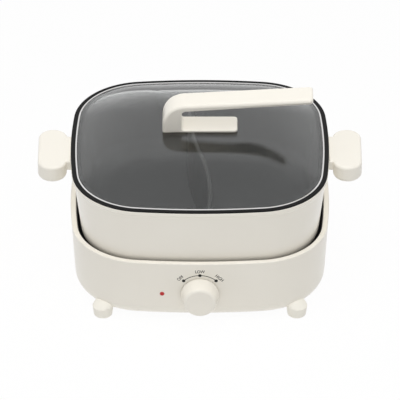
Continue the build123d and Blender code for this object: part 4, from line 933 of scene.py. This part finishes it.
pot_finishes = (cream_enamel, nonstick, lathe_faced("sole_aluminium", **SOLE_LOOK))
for finish in pot_finishes:
    pot.data.materials.append(finish)
enamelled, coated, bare = range(len(pot_finishes))
columns = len(plan_points)
sole_faces = len(sole_rows) * columns
outer_faces = (len(sole_rows) + len(outer_rows) - 1) * columns
face_finish = np.full(len(pot.data.polygons), coated)
face_finish[:sole_faces] = bare
face_finish[sole_faces:outer_faces] = enamelled
# The last two faces close the dimple under the sole and the floor inside.
face_finish[-2] = bare
pot.data.polygons.foreach_set("material_index", face_finish)
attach(pot, "pot")
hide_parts("pot_body")

# Divider: an upright S-shaped wall that parts the pot into two compartments.
# It is cast with the pot and coated with it.
DIVIDER_HALF = 2.5
DIVIDER_TOP_Z = 143.0
DIVIDER_ROUND = 2.3
DIVIDER_ROUND_STEPS = 8
DIVIDER_BURY = 1.0
DIVIDER_ROWS = 12
DIVIDER_STEPS = 121
SWAY_POINTS = [(6.4, -136.0), (11.4, -75.0), (0, 0)]


def circle_through(points):
    """Centre and radius of the circle through three points, from the two chords' middle lines."""
    first, second, third = np.array(points)
    chords = np.array([second - first, third - first])
    centre = np.linalg.solve(chords, (chords * (np.array([second, third]) + first)).sum(1) / 2)
    return centre, np.hypot(*(first - centre))


def cavity_inset(z):
    """Inset of the pot's inner wall at a height: a straight draft, and at the foot the floor edge's arc."""
    drop = np.clip(POT_INNER_Z + CAVITY_EDGE_R - z, 0, CAVITY_EDGE_R)
    wall = drafted(z, (CAVITY_BOTTOM_INSET, POT_INNER_Z), (CAVITY_TOP_INSET, LEDGE_Z))
    return wall + CAVITY_EDGE_R - np.sqrt(CAVITY_EDGE_R**2 - drop**2)


divider_foot_z = POT_INNER_Z - DIVIDER_BURY
section = rounded(
    [
        (-DIVIDER_HALF, divider_foot_z, 0),
        (DIVIDER_HALF, divider_foot_z, 0),
        (DIVIDER_HALF, DIVIDER_TOP_Z, DIVIDER_ROUND),
        (-DIVIDER_HALF, DIVIDER_TOP_Z, DIVIDER_ROUND),
    ],
    DIVIDER_ROUND_STEPS,
)
rise_z = np.linspace(divider_foot_z, DIVIDER_TOP_Z - DIVIDER_ROUND, DIVIDER_ROWS + 2)[1:-1]
right_side = np.column_stack((np.full(DIVIDER_ROWS, DIVIDER_HALF), rise_z))
left_side = np.column_stack((np.full(DIVIDER_ROWS, -DIVIDER_HALF), rise_z[::-1]))
section = np.vstack((section[:2], right_side, section[2:], left_side))
end_y = LIP_HALF_DEPTH - cavity_inset(np.maximum(section[:, 1], POT_INNER_Z)) + DIVIDER_BURY
divider_y = np.linspace(-1, 1, DIVIDER_STEPS)[:, None] * end_y
sway_centre, sway_radius = circle_through(SWAY_POINTS)
sway_y = -abs(divider_y) - sway_centre[1]
sway_x = np.sqrt(sway_radius**2 - sway_y**2)
slope = -sway_y / sway_x
side_x = 1 / np.sqrt(1 + slope**2)
side_y = -slope * side_x
divider_grid = np.dstack(
    (
        -np.sign(divider_y) * (sway_centre[0] + sway_x) + section[:, 0] * side_x,
        divider_y + section[:, 0] * side_y,
        np.broadcast_to(section[:, 1], divider_y.shape),
    )
)
divider = skin("divider_wall", [divider_grid], nonstick)
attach(divider, "pot")
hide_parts("pot_divider")

# Side grips: solid bars of cream plastic with full round ends, each on a short neck over a lug of the pot.
# Two screws from below hold each grip.
GRIP_MIDDLE_X = 165.05
GRIP_SIZE = (32.3, 80.0, 16.0)
GRIP_END_STEPS = 16
GRIP_EDGE_STEPS = 9
GRIP_LOW_Z = 128.5
GRIP_TOP_Z = 149.0
GRIP_LOW_ROUND = 6.0
GRIP_TOP_ROUND = 2.8
NECK_SIZE = (52.0, 12.4, 2.4)
NECK_MIDDLE_Z = 142.75
NECK_WALL_GAP = 0.4
NECK_STEPS = 6


def pot_inset(z):
    """Inset of the pot's outer face near the lip: the drafted wall, then the flare."""
    wall = drafted(z, (POT_BOTTOM_INSET, POT_FLOOR_Z), (POT_TOP_INSET, FLARE_LOW_Z))
    flare = drafted(np.minimum(z, FLARE_TOP_Z), (POT_TOP_INSET, FLARE_LOW_Z), (0, FLARE_TOP_Z))
    return np.where(z > FLARE_LOW_Z, flare, wall)


grip_outline = box_outline(*GRIP_SIZE, (GRIP_MIDDLE_X, 0), GRIP_END_STEPS)
grip_grid = slab(grip_outline, GRIP_LOW_Z, GRIP_TOP_Z, GRIP_LOW_ROUND, GRIP_TOP_ROUND, steps=GRIP_EDGE_STEPS)
neck_y, neck_z = box_outline(*NECK_SIZE, (0, NECK_MIDDLE_Z)).T
side_radius = SIDE_ARC_R - pot_inset(neck_z)
neck_start = LIP_HALF_WIDTH - SIDE_ARC_R + np.sqrt(side_radius**2 - neck_y**2) + NECK_WALL_GAP
neck_x = neck_start + np.linspace(0, 1, NECK_STEPS)[:, None] * (GRIP_MIDDLE_X - neck_start)
neck_grid = np.dstack((neck_x, np.broadcast_to(neck_y, neck_x.shape), np.broadcast_to(neck_z, neck_x.shape)))
for name, side in (("side_grip_right", 1), ("side_grip_left", -1)):
    grip = skin(name + "_bar", [grip_grid * [side, 1, 1], neck_grid * [side, 1, 1]], cream_gloss)
    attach(grip, "pot")
    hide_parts(name)

# Lid seal: a soft black silicone ring, stretched round the lid's rim, that rests on the pot's ledge.
# Its upper edge laps over the pot's lip.
SEAL_OUTER_INSET = 2.1
SEAL_WALL_INSET = 5.1
SEAL_FOOT_INSET = 8.0
SEAL_LAP_INSET = 0.4
SEAL_LAP_Z = 152.1
SEAL_TOP_Z = 153.6
SEAL_SOLE_ROUND = 0.4
SEAL_LAP_ROUND = 0.2
SEAL_TOP_ROUND = 0.7
SEAL_INNER_ROUND = 0.3
SEAL_SHEEN = 0.2
LID_Z = 149.0
SEAL_BLACK_LOOK = dict(
    codes=(14, 14, 14), deep_codes=(9, 9, 10), roughness=0.62, spread=0.06, grain=0.7, depth=0.01
)
seal_profile = rounded(
    [
        (SEAL_OUTER_INSET, LEDGE_Z, SEAL_SOLE_ROUND),
        (SEAL_OUTER_INSET, SEAL_LAP_Z, 0),
        (SEAL_LAP_INSET, SEAL_LAP_Z, SEAL_LAP_ROUND),
        (SEAL_LAP_INSET, SEAL_TOP_Z, SEAL_TOP_ROUND),
        (SEAL_WALL_INSET, SEAL_TOP_Z, SEAL_INNER_ROUND),
        (SEAL_WALL_INSET, LID_Z, 0),
        (SEAL_FOOT_INSET, LID_Z, SEAL_INNER_ROUND),
        (SEAL_FOOT_INSET, LEDGE_Z, SEAL_INNER_ROUND),
    ]
)
seal_black = moulded("seal_black", **SEAL_BLACK_LOOK)
seal_black.node_tree.nodes["Principled BSDF"].inputs["Specular IOR Level"].default_value = SEAL_SHEEN
seal = skin("lid_seal_ring", [swept(seal_profile)], seal_black, ring_rows=True)
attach(seal, "lid")
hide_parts("lid_seal")

# Lid rim: a channel rolled from bright stainless steel strip.
# It is closed over the edge of the glass, and the seal sits round it.
LID_RIM_OUTER_INSET = 5.4
LID_RIM_WALL_INSET = 6.3
LID_RIM_OVER_INSET = 7.25
LID_RIM_SEAT_INSET = 8.0
LID_RIM_TOP_Z = 154.0
LID_RIM_FOOT_ROUND = 0.3
LID_RIM_TOP_ROUND = 0.45
LID_RIM_OVER_ROUND = 0.2
LID_RIM_SEAT_ROUND = 0.15
GLASS_UNDER_Z = 149.5
DOME_BASE_Z = 153.5
RIM_BRIGHT_LOOK = dict(
    codes=(226, 225, 224), deep_codes=(214, 213, 212), roughness=0.16, spread=0.05, grain=3.0, depth=0.006
)
rim_profile = rounded(
    [
        (LID_RIM_OUTER_INSET, LID_Z, LID_RIM_FOOT_ROUND),
        (LID_RIM_OUTER_INSET, LID_RIM_TOP_Z, LID_RIM_TOP_ROUND),
        (LID_RIM_OVER_INSET, LID_RIM_TOP_Z, LID_RIM_OVER_ROUND),
        (LID_RIM_OVER_INSET, DOME_BASE_Z, 0),
        (LID_RIM_WALL_INSET, DOME_BASE_Z, 0),
        (LID_RIM_WALL_INSET, GLASS_UNDER_Z, 0),
        (LID_RIM_SEAT_INSET, GLASS_UNDER_Z, LID_RIM_SEAT_ROUND),
        (LID_RIM_SEAT_INSET, LID_Z, LID_RIM_SEAT_ROUND),
    ]
)
rim_bright = metal("rim_bright", **RIM_BRIGHT_LOOK)
rim = skin("lid_rim_rolled", [swept(rim_profile)], rim_bright, ring_rows=True)
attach(rim, "lid")
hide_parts("lid_rim")

# Lid glass: a tempered pane, slumped to a crown with a flat middle, with a ground edge inside the rim.
# It is clear, with the faintest green of soda-lime glass.
GLASS_INSET = 6.5
GLASS_EDGE_INSET = 11.5
DOME_RISE = 26.0
DOME_FLAT_SHARE = 0.34
DOME_ROWS = 26
PANE_COLOUR = (0.965, 0.985, 0.975, 1)
PANE_BENDING = 1.46
PANE_ROUGHNESS = 0.01
PANE_CLOUD_SIZE = 30.0


def crown_rows(inset, base_z):
    """Copies of the plan at an inset: each is scaled by its share of the run and rises by a parabola."""
    run = np.linspace(1, 0, DOME_ROWS)[:, None, None]
    size = DOME_FLAT_SHARE + (1 - DOME_FLAT_SHARE) * run
    plan = (plan_points - plan_normals * inset)[None] * size
    return np.dstack((plan, np.broadcast_to(base_z + DOME_RISE * (1 - run**2), (*plan.shape[:2], 1))))


pane_under = crown_rows(GLASS_EDGE_INSET, GLASS_UNDER_Z)[:0:-1]
pane_edge = swept(
    [(GLASS_EDGE_INSET, GLASS_UNDER_Z), (GLASS_INSET, GLASS_UNDER_Z), (GLASS_INSET, DOME_BASE_Z)]
)
pane_over = crown_rows(LID_RIM_OVER_INSET, DOME_BASE_Z)
pane_clear, tree, shader, coords = blank_finish("pane_clear")
shader.inputs["Base Color"].default_value = PANE_COLOUR
shader.inputs["Transmission Weight"].default_value = 1.0
shader.inputs["IOR"].default_value = PANE_BENDING
pane_clouds = noise(tree, coords, PANE_CLOUD_SIZE)
tree.links.new(stretch(tree, pane_clouds, 0, PANE_ROUGHNESS), shader.inputs["Roughness"])
glass = skin("lid_pane", [np.concatenate((pane_under, pane_edge, pane_over))], pane_clear)
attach(glass, "lid")
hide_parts("lid_glass")

# Lid handle: one cream moulding with a flat foot on the glass, a leg at the left and a long grip that rises
# to the right. Two screws hold it through the glass, each with a soft washer under the pane.
HANDLE_HALF_WIDTH = 14.8
HANDLE_LEFT_X = -41.8
FOOT_END_X = 42.0
FOOT_HEIGHT = 3.2
LEG_X = -20.4
LEG_HEIGHT = 27.2
TIP_X = 126.1
TIP_UNDER_HEIGHT = 37.7
TIP_OVER_HEIGHT = 44.0
ELBOW_HEIGHT = 34.0
FOOT_SOLE_ROUND = 0.6
FOOT_TOP_ROUND = 1.2
LEG_FOOT_ROUND = 3.0
LEG_HEAD_ROUND = 5.0
TIP_UNDER_ROUND = 1.6
TIP_OVER_ROUND = 2.4
ELBOW_ROUND = 26.0
HANDLE_STEPS = 14
HANDLE_EDGE_STEPS = 8
END_ROUND = 4.5
END_RUNS = [4.6, 4.0, 3.4, 2.8]
GRIP_LEVEL = 20.0
HANDLE_EDGE_R = 1.4
GRIP_EDGE_R = 4.2
HANDLE_SCREW_PLACES = [(-29.0, 0), (29.0, 0)]
WASHER_HEIGHT = 1.5
WASHER_PROFILE = [(1.7, 0, 0.1), (9.0, 0, 0.5), (9.0, WASHER_HEIGHT, 0.4), (1.7, WASHER_HEIGHT, 0.1)]
HANDLE_BOSS_DEPTH = 3.5
HANDLE_BOSS_PROFILE = [(1.6, 0, 0.1), (5.0, 0, 0.4), (5.0, 3.9, 0), (1.6, 3.9, 0)]


def run_points(start, end):
    """Plain points on a straight run of an outline, at the END_RUNS before its end."""
    back = np.subtract(start, end) / np.hypot(*np.subtract(start, end))
    return [(*(end + back * run), 0) for run in END_RUNS]


def about_screws(profile, low_z):
    """A rounded profile turned about each of the handle's screws, with its foot at a height."""
    return [turned(rounded(profile), place) + [0, 0, low_z] for place in HANDLE_SCREW_PLACES]


foot_left = (HANDLE_LEFT_X, 0)
foot_right = (FOOT_END_X, 0)
foot_over = (FOOT_END_X, FOOT_HEIGHT)
leg_foot = (LEG_X, FOOT_HEIGHT)
leg_head = (LEG_X, LEG_HEIGHT)
tip_under = (TIP_X, TIP_UNDER_HEIGHT)
tip_over = (TIP_X, TIP_OVER_HEIGHT)
elbow = (HANDLE_LEFT_X, ELBOW_HEIGHT)
handle_outline = [
    (*foot_left, FOOT_SOLE_ROUND),
    *run_points(foot_left, foot_right),
    (*foot_right, FOOT_SOLE_ROUND),
    (*foot_over, FOOT_TOP_ROUND),
    *run_points(leg_foot, foot_over)[::-1],
    (*leg_foot, LEG_FOOT_ROUND),
    (*leg_head, LEG_HEAD_ROUND),
    *run_points(leg_head, tip_under),
    (*tip_under, TIP_UNDER_ROUND),
    (*tip_over, TIP_OVER_ROUND),
    *run_points(elbow, tip_over)[::-1],
    (*elbow, ELBOW_ROUND),
]
handle_loop = rounded(handle_outline, HANDLE_STEPS)
handle_ahead = np.roll(handle_loop, -1, axis=0) - np.roll(handle_loop, 1, axis=0)
handle_way = handle_ahead / np.hypot(*handle_ahead.T)[:, None]
upward_share = np.clip(-handle_way[:, 0], 0, 1) * (handle_loop[:, 1] > GRIP_LEVEL)
leftward_share = np.clip(-handle_way[:, 1], 0, 1) * (handle_loop[:, 0] < LEG_X)
handle_edge = HANDLE_EDGE_R + (GRIP_EDGE_R - HANDLE_EDGE_R) * np.maximum(upward_share, leftward_share)
handle_sides = (-HANDLE_HALF_WIDTH, HANDLE_HALF_WIDTH)
handle_grid = slab(handle_loop, *handle_sides, handle_edge, handle_edge, (0, 2, 1), HANDLE_EDGE_STEPS)
handle_end = np.where(handle_grid[..., 2] > GRIP_LEVEL, TIP_X, FOOT_END_X)
past_round = np.clip(handle_grid[..., 0] - handle_end + END_ROUND, 0, END_ROUND)
handle_grid[..., 1] *= 1 - (END_ROUND - np.sqrt(END_ROUND**2 - past_round**2)) / HANDLE_HALF_WIDTH
crown_z = DOME_BASE_Z + DOME_RISE
handle = skin("lid_handle_bar", [handle_grid + [0, 0, crown_z]], cream_gloss)
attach(handle, "lid")
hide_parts("lid_handle")
boss_turns = about_screws(HANDLE_BOSS_PROFILE, crown_z - HANDLE_BOSS_DEPTH)
handle_bosses = skin("lid_handle_bosses", boss_turns, cream_gloss, ring_rows=True)
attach(handle_bosses, "lid")
washer_under_z = GLASS_UNDER_Z + DOME_RISE - WASHER_HEIGHT
washer_turns = about_screws(WASHER_PROFILE, washer_under_z)
washers = skin("handle_washers_soft", washer_turns, seal_black, ring_rows=True)
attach(washers, "lid")
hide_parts("handle_washers")
handle_screws = pan_screws("handle_screws_crossed", washer_under_z, HANDLE_SCREW_PLACES)
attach(handle_screws, "lid")
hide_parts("handle_screws")
